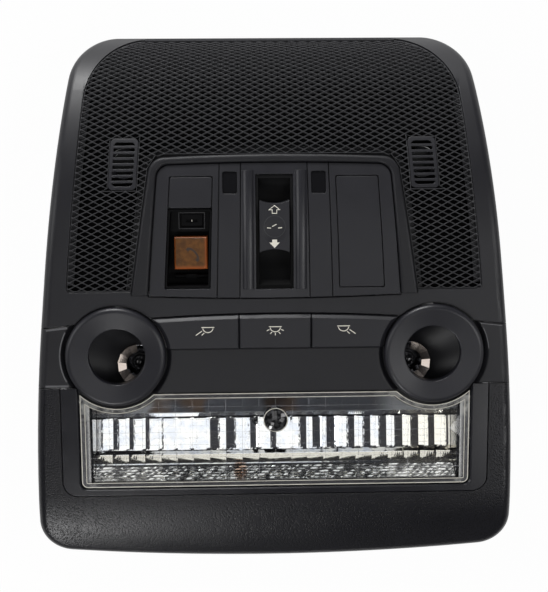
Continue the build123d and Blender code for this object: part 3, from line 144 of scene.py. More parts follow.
class Wire:
    """An output socket that takes part in sums."""

    def __init__(self, tree, socket):
        self.tree = tree
        self.socket = socket

    @classmethod
    def node(cls, tree, kind, settings=None, sockets=None, out=0):
        """Any node, by type, settings and socket values or links; gives one of its outputs."""
        made = tree.nodes.new("ShaderNode" + kind)
        for name, value in (settings or {}).items():
            if name == "stops":
                ramp = made.color_ramp.elements
                while len(ramp) < len(value):
                    ramp.new(0.5)
                for stop, (place, tone) in zip(ramp, value):
                    stop.position = place
                    stop.color = (*tone, 1)
            else:
                setattr(made, name, value)
        for name, value in (sockets or {}).items():
            if isinstance(value, Wire):
                tree.links.new(value.socket, made.inputs[name])
            else:
                made.inputs[name].default_value = value
        return cls(tree, made.outputs[out])

    def sum(self, operation, first, second):
        """Math node of two values, each a number or a socket."""
        return Wire.node(self.tree, "Math", {"operation": operation}, {0: first, 1: second})

    def __add__(self, other):
        return self.sum("ADD", self, other)

    def __radd__(self, other):
        return self.sum("ADD", other, self)

    def __sub__(self, other):
        return self.sum("SUBTRACT", self, other)

    def __rsub__(self, other):
        return self.sum("SUBTRACT", other, self)

    def __mul__(self, other):
        return self.sum("MULTIPLY", self, other)

    def __rmul__(self, other):
        return self.sum("MULTIPLY", other, self)


print("sums with a number first", [name for name in vars(Wire) if name.startswith("__r")])

# %% Noises, masks, mixes and bumps
NEUTRAL = (1, 1, 1.06)
COOL = (1, 1, 1.3)
PLAIN = (1, 1, 1)
BEVEL_SAMPLES = 4


def noise(place, grain_mm, detail=2.0, rough=0.5):
    """Soft noise from 0 to 1 whose spots are about grain_mm wide."""
    sockets = {"Vector": place, "Scale": 1 / (grain_mm * MM), "Detail": detail, "Roughness": rough}
    return Wire.node(place.tree, "TexNoise", None, sockets)


def pits(place, grain_mm):
    """Distance to the nearest of scattered points about grain_mm apart."""
    return Wire.node(place.tree, "TexVoronoi", None, {"Vector": place, "Scale": 1 / (grain_mm * MM)})


def along(place, axis):
    """Coordinate of a place along one axis, in millimetres about the lamp row."""
    raw = Wire.node(place.tree, "SeparateXYZ", None, {"Vector": place}, out=axis)
    start = {"X": 0.0, "Y": ROW_Y, "Z": FACE_Z}[axis]
    return (raw - start) * (1 / MM)


def fade(value, low, high):
    """0 where the value is at low, 1 where it is at high, soft between."""
    return Wire.node(value.tree, "MapRange", {"interpolation_type": "SMOOTHSTEP"},
                     {"Value": value, "From Min": low, "From Max": high})


def beyond(value, limits):
    """0 near the middle line, 1 past the limits on both sides of it."""
    return fade(value * value, limits[0] ** 2, limits[1] ** 2)


def blend(mask, first, second):
    """Colour that goes from first to second with the mask."""
    return Wire.node(mask.tree, "Mix", {"data_type": "RGBA"}, {0: mask, 6: first, 7: second}, out=2)


def grey(level, tint=NEUTRAL):
    """Colour of a grey with a slight tint."""
    return (level * tint[0], level * tint[1], level * tint[2], 1)


def soft_edges(tree, round_mm):
    """Normal that looks as if the edges were rounded."""
    return Wire.node(tree, "Bevel", {"samples": BEVEL_SAMPLES}, {"Radius": round_mm * MM})


def bump(height, depth_mm, round_mm=0.0):
    """Normal of a surface whose height varies from 0 to depth_mm."""
    sockets = {"Height": height, "Distance": depth_mm * MM}
    if round_mm > 0:
        sockets["Normal"] = soft_edges(height.tree, round_mm)
    return Wire.node(height.tree, "Bump", None, sockets)


print("a grain of 1 mm has the scale", round(1 / MM))


# %% Materials from recipes
def finish(name, recipe, **fixed):
    """Material from a recipe of varying sockets and fixed socket values."""
    made = bpy.data.materials.new(name)
    made.use_nodes = True
    tree = made.node_tree
    shader = tree.nodes["Principled BSDF"]
    place = Wire.node(tree, "TexCoord", out="Object")
    for port, value in recipe(place).items():
        tree.links.new(value.socket, shader.inputs[port])
    for port, value in fixed.items():
        shader.inputs[port.replace("_", " ")].default_value = value
    return made


def cloudy(grain_mm, tones, rough, spread, *look):
    """Recipe of an even finish: one noise varies its tone and its roughness."""
    def recipe(place):
        cloud = noise(place, grain_mm, *look)
        return {"Base Color": blend(cloud, *tones), "Roughness": rough + spread * cloud}
    return recipe


def greys(*levels):
    """Colours of a few greys."""
    return [grey(level) for level in levels]


def dress(made, *nodes):
    """Gives solids of the frame a material."""
    for name in nodes:
        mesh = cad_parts[name].data
        mesh.materials.clear()
        mesh.materials.append(made)
    print(made.name, "on", len(nodes), "solids")


print("materials so far", len(bpy.data.materials))

# %% [markdown]
# ## Black plastics
# Nearly everything is black moulded plastic, and what tells the pieces apart is the grain and the sheen.
# The upper frame and the band are satin with a grain too fine to see singly, so only the roughness and a
# slight bump vary. The lower frame has a leathery grain that glitters, made of pits and a finer noise.

# %% Recipes of the black plastics
def plastic(tones, spots_mm, rough, grain_mm, depth_mm, round_mm):
    """Recipe of a moulded black: cloudy tones, a fine grain and rounded edges."""
    def recipe(place):
        cloud = noise(place, spots_mm)
        tone = blend(cloud, grey(tones[0], COOL), grey(tones[1], COOL))
        relief = bump(noise(place, grain_mm, 3), depth_mm, round_mm)
        return {"Base Color": tone, "Roughness": rough + 0.1 * cloud, "Normal": relief}
    return recipe


def grained_recipe(place):
    cloud = noise(place, 22)
    coarse = pits(place, 0.85)
    height = 0.65 * fade(coarse, 0.1, 0.6) + 0.35 * noise(place, 0.4, 3)
    tone = blend(fade(coarse, 0.15, 0.7), grey(0.0015, COOL), grey(0.009, COOL))
    return {"Base Color": tone, "Roughness": 0.25 + 0.10 * cloud, "Normal": bump(height, 0.07, 0.6)}


def well_recipe(place):
    cloud = noise(place, 6)
    floor_tone = blend(cloud, grey(0.006), grey(0.010))
    # Painted shade: the top of the well's wall, just under the face, is painted darker than its floor.
    rim = fade(along(place, "Z"), -3.0, -1.5)
    return {"Base Color": blend(rim, floor_tone, grey(0.0015)), "Roughness": 0.45 + 0.1 * cloud}


def fleece_recipe(place):
    fibre = noise(place, 0.25, 4, 0.7)
    return {"Base Color": blend(fibre, grey(0.001), grey(0.004)), "Roughness": 0.9 + 0.1 * fibre,
            "Normal": bump(fibre, 0.1)}


black_recipes = (plastic, grained_recipe, well_recipe, fleece_recipe)
print("black recipes", [recipe.__name__ for recipe in black_recipes])


# %% Black plastics on their pieces
def moulded(name, shine, *look):
    """Material of a black plastic with a level of shine."""
    return finish(name, plastic(*look), Specular_IOR_Level=shine)


crescent_black = moulded("crescent_black", 0.42, (0.008, 0.012), 14, 0.38, 0.35, 0.012, 0.0)
dress(moulded("satin_black", 0.42, (0.007, 0.011), 14, 0.38, 0.35, 0.012, 0.7), "upper_frame")
dress(moulded("rim_black", 0.36, (0.006, 0.009), 9, 0.42, 0.3, 0.010, 0.6), "switch_rim")
dress(moulded("band_black", 0.40, (0.006, 0.009), 14, 0.38, 0.35, 0.012, 1.1), "centre_band")
dress(moulded("button_black", 0.42, (0.009, 0.013), 9, 0.40, 0.3, 0.010, 0.6),
      "left_button", "centre_button", "right_button")
dress(moulded("matt_panel_black", 0.42, (0.010, 0.014), 9, 0.42, 0.3, 0.010, 0.6),
      "left_switch_panel", "right_switch_panel", "left_window_strip", "right_window_strip",
      "blank_cover", "call_cover", "roof_switch_cap", "left_mic_vent", "right_mic_vent")
dress(moulded("ridge_black", 0.5, (0.011, 0.015), 9, 0.31, 0.3, 0.006, 0.4), "roof_switch_bezel")
dress(moulded("ring_black", 0.45, (0.011, 0.015), 16, 0.30, 0.25, 0.006, 0.7),
      "left_lamp_ring", "right_lamp_ring")
dress(moulded("bezel_black", 0.5, (0.008, 0.012), 12, 0.18, 0.5, 0.004, 0.5), "lens_bezel")
dress(moulded("dark_inside_black", 0.35, (0.003, 0.006), 6, 0.40, 0.4, 0.008, 0.2),
      "left_lamp_cone", "right_lamp_cone", "roof_switch_slider", "switch_carrier", "rear_housing",
      "left_bulb_holder", "right_bulb_holder", "connector_socket", "microphones")
# Painted shade: the call well and its latch are painted darker than the other blacks, for the shade deep in
# the well.
dress(moulded("call_well_painted_shade_black", 0.12, (0.001, 0.002), 6, 0.55, 0.4, 0.008, 0.2),
      "call_well", "latch_housing", "latch_plunger")
dress(finish("well_black", well_recipe, Specular_IOR_Level=0.08), "roof_switch_well")
dress(finish("grained_black", grained_recipe, Specular_IOR_Level=0.35), "lower_frame")
dress(finish("black_fleece", fleece_recipe, Specular_IOR_Level=0.1), "grille_fleece")

# %% [markdown]
# ## Bright and clear pieces
# The reflectors are vapour coated mirrors. The dome light's is kept dim here, because a bright lining is
# laid on it further down; where its walls still show beside the lining, the dim tone is painted shade. The
# lens is clear plastic, and its bead, like the bulbs and the two windows, is so dark behind that only its
# gloss shows. The call key is amber plastic, dull brown on top, and the glow at the edges that catch the
# light is painted light: a brighter amber laid on by place. Photographs of such surfaces could be laid on
# as textures, but noises need no images and no unwrapping.

# %% Recipes of bead, lens, glass, amber key and board
KEY_LOW, KEY_HIGH = span("call_button")
PAINTED_GLOW_TOP = (0.5, 0.05)
PAINTED_GLOW_RIGHT = (2.2, 0.3)
PAINTED_GLOW_FOOT = (0.3, 2.4)
PAINTED_GLOW_LEFT = (0.2, 1.2)


def bead_recipe(place):
    cloud = noise(place, 1.8, 3)
    return {"Base Color": blend(fade(cloud, 0.4, 0.65), grey(0.004), grey(0.05)),
            "Roughness": 0.05 + 0.08 * cloud}


def lens_recipe(place):
    dust = fade(noise(place, 0.8, 4), 0.62, 0.85)
    return {"Roughness": 0.01 + 0.05 * dust}


def glass_recipe(place):
    return {"Roughness": 0.05 + 0.05 * noise(place, 1.5)}


# Painted light: the key's sides and its right, foot and left edges are painted a brighter amber, a painted
# glow.
def amber_painted_glow_recipe(place):
    cloud = fade(noise(place, 2.8, 4), 0.3, 0.7)
    across = along(place, "X")
    down = along(place, "Y")
    top = fade(along(place, "Z"), KEY_HIGH.z - PAINTED_GLOW_TOP[0], KEY_HIGH.z - PAINTED_GLOW_TOP[1])
    right = fade(across, KEY_HIGH.x - PAINTED_GLOW_RIGHT[0], KEY_HIGH.x - PAINTED_GLOW_RIGHT[1])
    foot = 1 - fade(down, KEY_LOW.y + PAINTED_GLOW_FOOT[0], KEY_LOW.y + PAINTED_GLOW_FOOT[1])
    left = 1 - fade(across, KEY_LOW.x + PAINTED_GLOW_LEFT[0], KEY_LOW.x + PAINTED_GLOW_LEFT[1])
    painted_glow = 0.75 * right + 0.6 * foot + 0.35 * left + (0.9 - 0.9 * top)
    face = blend(cloud, (0.076, 0.029, 0.005, 1), (0.145, 0.057, 0.011, 1))
    tone = blend(fade(painted_glow, 0.0, 1.0), face, (0.37, 0.092, 0.018, 1))
    return {"Base Color": tone, "Roughness": 0.32 + 0.1 * cloud,
            "Normal": bump(noise(place, 0.4), 0.01, 0.3)}


def board_recipe(place):
    return {"Base Color": blend(noise(place, 4), (0.01, 0.09, 0.03, 1), (0.02, 0.13, 0.05, 1)),
            "Roughness": 0.35 + 0.1 * noise(place, 2)}


print("amber key", [round(v, 1) for v in (*KEY_LOW, *KEY_HIGH)])

# %% Bright and clear materials on their pieces
dress(finish("lamp_mirror", cloudy(2, greys(0.5, 0.7), 0.14, 0.06), Metallic=1.0),
      "left_lamp_reflector", "right_lamp_reflector")
# Painted shade: the dome reflector's mirror is painted dim, so that its walls that show beside the lining
# look dark.
dress(finish("shade_dimmed_mirror", cloudy(4, greys(0.08, 0.14), 0.12, 0.08), Metallic=1.0), "dome_reflector")
dress(finish("dark_bead", bead_recipe, Specular_IOR_Level=0.6), "sensor_bead")
dress(finish("clear_lens", lens_recipe, Base_Color=(0.98, 0.985, 0.99, 1), Transmission_Weight=1.0,
             IOR=1.49), "dome_lens")
dress(finish("clear_glass", glass_recipe, Base_Color=(0.92, 0.92, 0.92, 1), Transmission_Weight=1.0,
             IOR=1.5), "dome_lamps")
dress(finish("dark_glass", glass_recipe, Base_Color=(0.006, 0.006, 0.007, 1), Specular_IOR_Level=0.6),
      "left_window", "right_window", "left_lamp_bulb", "right_lamp_bulb")
dress(finish("amber_key", amber_painted_glow_recipe, Specular_IOR_Level=0.25), "call_button")
dress(finish("plain_steel", cloudy(0.5, greys(0.42, 0.58), 0.28, 0.15, 4), Metallic=1.0),
      "housing_screws", "retaining_clips", "connector_pins")
dress(finish("board_green", board_recipe), "circuit_board")
dress(finish("pale_part", cloudy(1, greys(0.55, 0.65), 0.4, 0.1)), "switch_mat", "window_leds")

# %% [markdown]
# ## Meshes from points
# The added pieces are small closed meshes: strips, plates and the cells of the grille. One class collects
# points and faces and shares equal points. Plates and strips are drawn in plan, and a function passed in
# as `place` says where such a point lies, on the flat face or on the curved one.

# %% Points and faces
SHARP_ANGLE = math.radians(30)
SAME_DIGITS = 7


class Sheet:
    """Points and faces of a mesh under construction; equal points are shared."""

    def __init__(self):
        self.places = {}
        self.points = []
        self.faces = []

    def point(self, place):
        key = tuple(round(v, SAME_DIGITS) for v in place)
        if key not in self.places:
            self.places[key] = len(self.points)
            self.points.append(place)
        return self.places[key]

    def face(self, places):
        corners = []
        for place in places:
            index = self.point(place)
            if index not in corners:
                corners.append(index)
        if len(corners) > 2:
            self.faces.append(corners)

    def made(self, name, material, body, slot, smooth=False):
        """Blender object of the mesh that rides on a body."""
        mesh = bpy.data.meshes.new(name)
        mesh.from_pydata(self.points, [], self.faces)
        mesh.validate()
        mesh.update()
        if smooth:
            mesh.shade_smooth()
            mesh.set_sharp_from_angle(angle=SHARP_ANGLE)
        piece = bpy.data.objects.new(name, mesh)
        bpy.context.scene.collection.objects.link(piece)
        mesh.materials.append(material)
        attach(piece, body)
        print(name, len(mesh.polygons), "faces")
        return piece


print("edges over", round(math.degrees(SHARP_ANGLE)), "degrees stay sharp")

# %% Plates, strips and arcs
CIRCLE_STEP = 7.5


def sides_of(outline):
    """Start and end of each side of an outline."""
    return [(outline[index - 1], end) for index, end in enumerate(outline)]


def mirrored(points):
    """Points across the middle line, in turned order."""
    return [(-x, y) for x, y in reversed(points)]


def offside(point, start, end):
    """How far a point lies to the left of the line from start to end."""
    run_x, run_y = end[0] - start[0], end[1] - start[1]
    return (run_x * (point[1] - start[1]) - run_y * (point[0] - start[0])) / math.hypot(run_x, run_y)


def plate(sheet, outline, low, high, place=at):
    """Closed plate over an anticlockwise outline."""
    for corners in tessellate_polygon([[Vector((*p, 0)) for p in outline]]):
        a, b, c = (outline[i] for i in corners)
        if offside(c, a, b) < 0:
            b, c = c, b
        sheet.face([place(*p, high) for p in (a, b, c)])
        sheet.face([place(*p, low) for p in (c, b, a)])
    for start, end in sides_of(outline):
        sheet.face([place(*start, low), place(*end, low), place(*end, high), place(*start, high)])


def edges_of(line, half, closed):
    """Points on both sides of a line, with mitred corners."""
    left, right = [], []
    count = len(line)
    for index in range(count):
        here = Vector(line[index])
        before = Vector(line[index - 1]) if closed or index > 0 else None
        after = Vector(line[(index + 1) % count]) if closed or index < count - 1 else None
        first = (here - before if before is not None else after - here).normalized()
        second = (after - here).normalized() if after is not None else first
        push = Vector((-first.y - second.y, first.x + second.x)) / (1 + first.dot(second))
        left.append(tuple(here + push * half))
        right.append(tuple(here - push * half))
    return left, right


def skin(sheet, here, after):
    """Faces between two loops of as many points."""
    for index, end in enumerate(here):
        sheet.face([here[index - 1], after[index - 1], after[index], end])


def strip(sheet, line, width, low, high, place=at, closed=False):
    """Closed strip of even width along a line."""
    loops = []
    for left, right in zip(*edges_of(line, width / 2, closed)):
        loops.append([place(*left, high), place(*left, low), place(*right, low), place(*right, high)])
    for here, after in zip(loops, loops[1:]):
        skin(sheet, here, after)
    if closed:
        skin(sheet, loops[-1], loops[0])
    else:
        sheet.face(loops[0])
        sheet.face(loops[-1][::-1])


def arc(x, y, radius_x, radius_y, start, end, steps):
    """Points of an elliptic arc, angles in degrees."""
    points = []
    for step in range(steps + 1):
        turn = math.radians(start + (end - start) * step / steps)
        points.append((x + radius_x * math.cos(turn), y + radius_y * math.sin(turn)))
    return points


def circle(x, y, radius):
    """Points of a whole circle."""
    return arc(x, y, radius, radius, 0, 360 - CIRCLE_STEP, round(360 / CIRCLE_STEP) - 1)


print("a circle has", len(circle(0, 0, 1)), "points")

# %% [markdown]
# ## The fine grille
# The real grille is a moulded mesh of about two thousand rounded diamonds. A texture would look flat at
# the nose, so each gap is cut in geometry. The cells tile the sheet as diamonds; each cell is a flat
# crest along its outline, a slope, and a smaller rounded gap. Cells that meet the border are clipped, so
# the mesh ends in a clean edge, and a lip behind the border carries it.

# %% Borders of the mesh
GRILLE_LOW_Y = 29.9
GRILLE_TOP_Y = 143.4
GRILLE_LOW_HALF = 94.9
GRILLE_TOP_HALF = 84.6
GRILLE_CORNER_R = 20.0
MESH_CORNER_R = 29.0
MESH_GAP = 0.25
CREST_INSET = 0.15
GAP_INSET = 0.3
RIM_LOW_HALF = 65.5
RIM_LOW_Y = 28.3
RIM_TOP_HALF = 56.1
RIM_TOP_Y = 91.6
RIM_CORNER = 6.0
RIM_ROUND = 0.3
VENT_LOW_Y = 76.0
VENT_TOP_Y = 98.4
VENT_LOW_IN = 62.5
VENT_TOP_IN = 61.2
VENT_W = 12.6
CORNER_STEPS = 14


def grille_corner(corner_r, inset):
    """Arc of a rounded corner at the grille's top right, moved inwards."""
    lean = math.atan2(GRILLE_LOW_HALF - GRILLE_TOP_HALF, GRILLE_TOP_Y - GRILLE_LOW_Y)
    middle_x = GRILLE_TOP_HALF - corner_r * (1 - math.sin(lean)) / math.cos(lean)
    radius = corner_r - inset
    return arc(middle_x, GRILLE_TOP_Y - corner_r, radius, radius, math.degrees(lean), 90, CORNER_STEPS)


def grille_border(inset):
    """Corners of the grille's opening, anticlockwise, moved inwards."""
    low = GRILLE_LOW_HALF - inset
    right = grille_corner(MESH_CORNER_R, inset)
    foot = GRILLE_LOW_Y + inset
    return [(-low, foot), (low, foot), *right, *mirrored(right)]


def grown(points, amount):
    """Convex outline, anticlockwise, with each side moved outwards."""
    return edges_of(points, -amount, True)[0]


def keep_out():
    """Outlines that the mesh leaves free: the switch field and the two vents."""
    lean = (RIM_LOW_HALF - RIM_TOP_HALF) / (RIM_TOP_Y - RIM_LOW_Y) * RIM_CORNER
    side = [(RIM_LOW_HALF, RIM_LOW_Y), (RIM_TOP_HALF + lean, RIM_TOP_Y - RIM_CORNER),
            (RIM_TOP_HALF - RIM_ROUND * RIM_CORNER, RIM_TOP_Y - RIM_ROUND * RIM_CORNER),
            (RIM_TOP_HALF - RIM_CORNER, RIM_TOP_Y)]
    vent = [(VENT_LOW_IN, VENT_LOW_Y), (VENT_LOW_IN + VENT_W, VENT_LOW_Y),
            (VENT_TOP_IN + VENT_W, VENT_TOP_Y), (VENT_TOP_IN, VENT_TOP_Y)]
    return [side + mirrored(side), vent, mirrored(vent)]


print("grille", 2 * GRILLE_LOW_HALF, "mm wide at its foot and", 2 * GRILLE_TOP_HALF, "at the nose")


# %% Clipping of the cells
def cut(points, start, end, side):
    """Part of an outline on one side of a line: 1 is left of it, -1 is right."""
    made = []
    for before, here in sides_of(points):
        a = side * offside(before, start, end)
        b = side * offside(here, start, end)
        if (a > 0) != (b > 0):
            share = a / (a - b)
            made.append((before[0] + (here[0] - before[0]) * share,
                         before[1] + (here[1] - before[1]) * share))
        if b > 0:
            made.append(here)
    return made


def trimmed(points, middle, inset):
    """Outline clipped to the border, and kept out of what the mesh leaves free."""
    for start, end in sides_of(grille_borders[inset]):
        points = cut(points, start, end, 1)
        if len(points) < 3:
            return []
    for hole in free_areas[inset]:
        sides = [(-offside(middle, start, end), start, end) for start, end in sides_of(hole)]
        start, end = max(sides)[1:]
        points = cut(points, start, end, -1)
        if len(points) < 3:
            return []
    return points


def area(points):
    """Area inside an outline."""
    return abs(sum(a[0] * b[1] - b[0] * a[1] for a, b in sides_of(points))) / 2


INSETS = (MESH_GAP, MESH_GAP + CREST_INSET, MESH_GAP + GAP_INSET)
grille_borders = {inset: grille_border(inset) for inset in INSETS}
free_areas = {inset: [grown(hole, inset) for hole in keep_out()] for inset in INSETS}
print("grille border", len(grille_borders[MESH_GAP]), "corners")

# %% Cells of the mesh
CELL_COLUMNS = 16.2
CELL_TALL = 2.95
GAP_SHARE = (0.79, 0.80, 1.14)
CREST_SHARE = (0.92, 0.92, 1.04)
GAP_POINTS = 8
CREST = -0.5
SHOULDER = -0.85
BACK = -1.7
SMALL_AREA = 0.05
SMALL_GAP = 0.5
PLAN_DIGITS = 5


def grille_half(y):
    """Half width of the grille at y."""
    share = (y - GRILLE_LOW_Y) / (GRILLE_TOP_Y - GRILLE_LOW_Y)
    return GRILLE_LOW_HALF + (GRILLE_TOP_HALF - GRILLE_LOW_HALF) * share


def lattice(column, way):
    """Place in plan of a point given by its column and its way along the face."""
    y = face_point(way, 0)[0]
    return column / CELL_COLUMNS * grille_half(y), y


def rounded_diamond(column, way, share):
    """Points of a diamond about a cell, with soft corners."""
    wide, tall, power = share
    points = []
    for index in range(GAP_POINTS):
        turn = 2 * math.pi * index / GAP_POINTS
        size = (abs(math.cos(turn)) ** power + abs(math.sin(turn)) ** power) ** (-1 / power)
        points.append(lattice(column + 0.5 * wide * size * math.cos(turn),
                              way + 0.5 * CELL_TALL * tall * size * math.sin(turn)))
    return points


def ring(sheet, outer, inner, outer_lift, inner_lift, turned=False):
    """Faces between two outlines, or a full face where there is no inner one."""
    loops = [outer, inner] if inner else [outer]
    flat = [p for loop in loops for p in loop]
    for corners in tessellate_polygon([[Vector((*p, 0)) for p in loop] for loop in loops]):
        places = [(flat[i], outer_lift if i < len(outer) else inner_lift) for i in corners]
        if offside(places[2][0], places[0][0], places[1][0]) < 0:
            places.reverse()
        if turned:
            places.reverse()
        sheet.face([on_face(*p, lift) for p, lift in places])


def add_cell(sheet, column, way, sides):
    """One cell: its crest, its slope, the walls of its gap and its back."""
    corners = [lattice(column + 0.5, way), lattice(column, way + CELL_TALL / 2),
               lattice(column - 0.5, way), lattice(column, way - CELL_TALL / 2)]
    middle = lattice(column, way)
    outer = [(round(x, PLAN_DIGITS), round(y, PLAN_DIGITS)) for x, y in trimmed(corners, middle, INSETS[0])]
    outer = [end for start, end in sides_of(outer) if end != start]
    if len(outer) < 3 or area(outer) < SMALL_AREA:
        return
    sides.update(sides_of(outer))
    crest = trimmed(rounded_diamond(column, way, CREST_SHARE), middle, INSETS[1])
    gap = trimmed(rounded_diamond(column, way, GAP_SHARE), middle, INSETS[2])
    if len(gap) < 3 or area(gap) < SMALL_GAP:
        ring(sheet, outer, [], CREST, CREST)
        ring(sheet, outer, [], BACK, BACK, turned=True)
        return
    ring(sheet, outer, crest, CREST, CREST)
    ring(sheet, crest, gap, CREST, SHOULDER)
    ring(sheet, outer, gap, BACK, BACK, turned=True)
    for start, end in sides_of(gap):
        sheet.face([on_face(*start, SHOULDER), on_face(*end, SHOULDER),
                    on_face(*end, BACK), on_face(*start, BACK)])


print("cells", CELL_TALL, "mm tall,", round(GRILLE_LOW_HALF / CELL_COLUMNS, 2), "mm wide")

# %% Lip of the grille
LIP_LOW_Y = 32.9
LIP_TOP_Y = 119.3
LIP_HALF = 3.0
LIP_TOP = -2.5
LIP_BACK = -4.0
LIP_STEPS = 24


def add_lip(sheet, side):
    """Lip along one side of the grille, behind the edge of the frame."""
    line = []
    for step in range(LIP_STEPS + 1):
        y = LIP_LOW_Y + (LIP_TOP_Y - LIP_LOW_Y) * step / LIP_STEPS
        line.append((side * grille_half(y), y))
    strip(sheet, line, 2 * LIP_HALF, LIP_BACK, LIP_TOP, on_face)


print("lip", LIP_TOP - LIP_BACK, "mm thick")

# %% The whole grille
HALF_COLUMNS = 18


def fine_mesh():
    """Whole grille as one sheet."""
    sheet = Sheet()
    sides = set()
    rows = int((face_way(GRILLE_TOP_Y) - GRILLE_LOW_Y) / CELL_TALL * 2) + 2
    for row in range(rows):
        for step in range(-HALF_COLUMNS, HALF_COLUMNS + 1):
            add_cell(sheet, step + 0.5 * (row % 2), GRILLE_LOW_Y + row * CELL_TALL / 2, sides)
    for a, b in sides:
        if (b, a) not in sides:
            sheet.face([on_face(*a, CREST), on_face(*a, BACK), on_face(*b, BACK), on_face(*b, CREST)])
    add_lip(sheet, 1)
    add_lip(sheet, -1)
    return sheet


def mesh_recipe(place):
    cloud = noise(place, 12)
    tone = blend(cloud, grey(0.048), grey(0.060))
    return {"Base Color": tone, "Roughness": 0.50 + 0.1 * cloud, "Normal": bump(noise(place, 0.3), 0.008)}


mesh_black = finish("mesh_black", mesh_recipe, Specular_IOR_Level=0.13)
grille = fine_mesh().made("fine_grille", mesh_black, "console", "grille_plastic")
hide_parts("grille_mesh")

# %% [markdown]
# The frame is broader at the two nose corners than its opening: a thin crescent fills the corner between
# the opening and the rounder corner of the mesh. It could be cut from the frame, but a plate that follows
# the curve of the face and has the frame's finish does as well. Along the nose the mesh ends in a dull
# hem, a narrow strip without gloss.

# %% Crescents at the nose corners and the hem between them
CRESCENT_LOW = -1.6
CRESCENT_HIGH = 0.10
CRESCENT_LAP = 0.9
HEM_Y = 143.25
HEM_W = 1.0
HEM_HALF = 60.0
HEM_HIGH = 0.06


def crescents():
    """Two plates between the corner of the opening and the corner of the mesh."""
    sheet = Sheet()
    outer = [(x, min(y, HEM_Y)) for x, y in grille_corner(GRILLE_CORNER_R, -CRESCENT_LAP)]
    inner = grille_corner(MESH_CORNER_R, 0.0)
    right = outer + inner[::-1]
    plate(sheet, right, CRESCENT_LOW, CRESCENT_HIGH, on_face)
    plate(sheet, mirrored(right), CRESCENT_LOW, CRESCENT_HIGH, on_face)
    return sheet


crescents().made("nose_corner_crescents", crescent_black, "console", "frame_plastic", smooth=True)
hem_dull = cloudy(0.25, greys(0.036, 0.056), 0.9, 0.1, 4, 0.7)
hem_black = finish("hem_black", hem_dull, Specular_IOR_Level=0.0)
hem = Sheet()
strip(hem, [(-HEM_HALF, HEM_Y), (HEM_HALF, HEM_Y)], HEM_W, CRESCENT_LOW, HEM_HIGH, on_face)
hem.made("nose_hem", hem_black, "console", "grille_plastic")

# %% [markdown]
# The two ears of the band end in a soft edge that catches the light as a line, broad on the left ear and
# thin on the right one. It could be cut into the solid, but it is under a millimetre wide, so a strip of
# a lighter black along the edge stands for it: a painted highlight.

# %% Painted highlights on the soft edges of the ears
EAR_TOP = [(94.7, 13.6), (104.5, 12.55)]
EAR_FOOT = [(95.0, -13.55), (105.5, -13.55)]
EAR_EDGE_W = 0.9
EAR_LINE_W = 0.35
EAR_EDGE_LOW = -0.02
EAR_EDGE_HIGH = 0.04
SEAT_EDGE_R = 25.5
SEAT_EDGE_W = 0.6
SEAT_EDGE_LEFT = (153, 207, 14)
SEAT_EDGE_RIGHT = (4, 27, 6)
ear_highlight_black = finish("ear_edge_painted_highlight", cloudy(3, greys(0.07, 0.12), 0.36, 0.1, 3))
ear_lines = [([(-x, y) for x, y in EAR_TOP], EAR_EDGE_W),
             ([(-x, y) for x, y in EAR_FOOT], EAR_EDGE_W),
             (arc(-LAMP_X, 0, SEAT_EDGE_R, SEAT_EDGE_R, *SEAT_EDGE_LEFT), SEAT_EDGE_W),
             (arc(LAMP_X, 0, SEAT_EDGE_R, SEAT_EDGE_R, *SEAT_EDGE_RIGHT), EAR_LINE_W),
             (EAR_TOP, EAR_LINE_W)]
# Painted highlight: lighter strips along the ears' edges and the ring seats.
ears = Sheet()
for line, width in ear_lines:
    strip(ears, line, width, EAR_EDGE_LOW, EAR_EDGE_HIGH)
ears.made("ear_edge_painted_highlights", ear_highlight_black, "console", "frame_plastic")

# %% [markdown]
# ## The lining of the dome reflector
# Behind the lens lies a bright moulding: a flat roof strip, a row of flutes, a shelf and a faceted lower
# row. What one sees in a mirror is only what it faces, so the flutes are shaped from that end: each flute
# is given the stretch of the overhead softbox that it should show from its left edge to its right edge,
# the normals follow from the law of reflection, and the heights from adding up the slopes. The lining is
# a thin shell that lies on the solid trough.

# %% Flutes worked out from what they mirror
EYE = Vector((-20.07, 132.05, 600.19))
BOX_MIDDLE = Vector((-37.0, 53.0, 700.0))
BOX_HALF = 112.0
SKIN_HALF = 84.8
SKIN_T = 0.12
FLUTE_TOP = (-35.6, -23.5)
FLUTE_LOW = (-49.6, -20.64)
FLUTE_STEPS = 8
FLUTE_VIEWS = [(-1.9, 0.7), (-1.8, 0.6), (-1.7, 0.6), (-1.6, 0.7), (-1.15, 0.8), (-0.8, 0.8), (-0.7, 0.9),
               (-2.4, 0.0), (-2.4, 0.0), (-1.1, 3.5), (-0.9, 1.6), (-1.3, 0.9), (-0.8, 2.4), (-0.4, 3.6),
               (0.2, 3.8), (-0.7, 2.4), (-0.7, 2.4), (-0.6, 2.4), (-0.5, 2.4), (-0.6, 2.4), (-0.8, 2.2),
               (-0.9, 1.8)]
FLUTE_PITCH = 2 * SKIN_HALF / len(FLUTE_VIEWS)


def mirror_slope(x, view):
    """Slope along X at which a flute at x shows a place on the softbox."""
    here = Vector((x, (FLUTE_TOP[0] + FLUTE_LOW[0]) / 2, FLUTE_TOP[1]))
    target = BOX_MIDDLE + Vector((view * BOX_HALF, 0, 0))
    normal = (EYE - here).normalized() + (target - here).normalized()
    return -normal.x / normal.z


def flute_heights(index):
    """Places along X and heights of one flute."""
    first, last = FLUTE_VIEWS[index]
    left = -SKIN_HALF + index * FLUTE_PITCH
    run = FLUTE_PITCH / FLUTE_STEPS
    places, heights = [left], [0.0]
    for step in range(FLUTE_STEPS):
        share = (step + 0.5) / FLUTE_STEPS
        slope = mirror_slope(left + share * FLUTE_PITCH, first + (last - first) * share)
        places.append(left + (step + 1) * run)
        heights.append(heights[-1] + slope * run)
    middle = sum(heights) / len(heights)
    return places, [h - middle for h in heights]


print("flutes", len(FLUTE_VIEWS), "pitch", round(FLUTE_PITCH, 2))

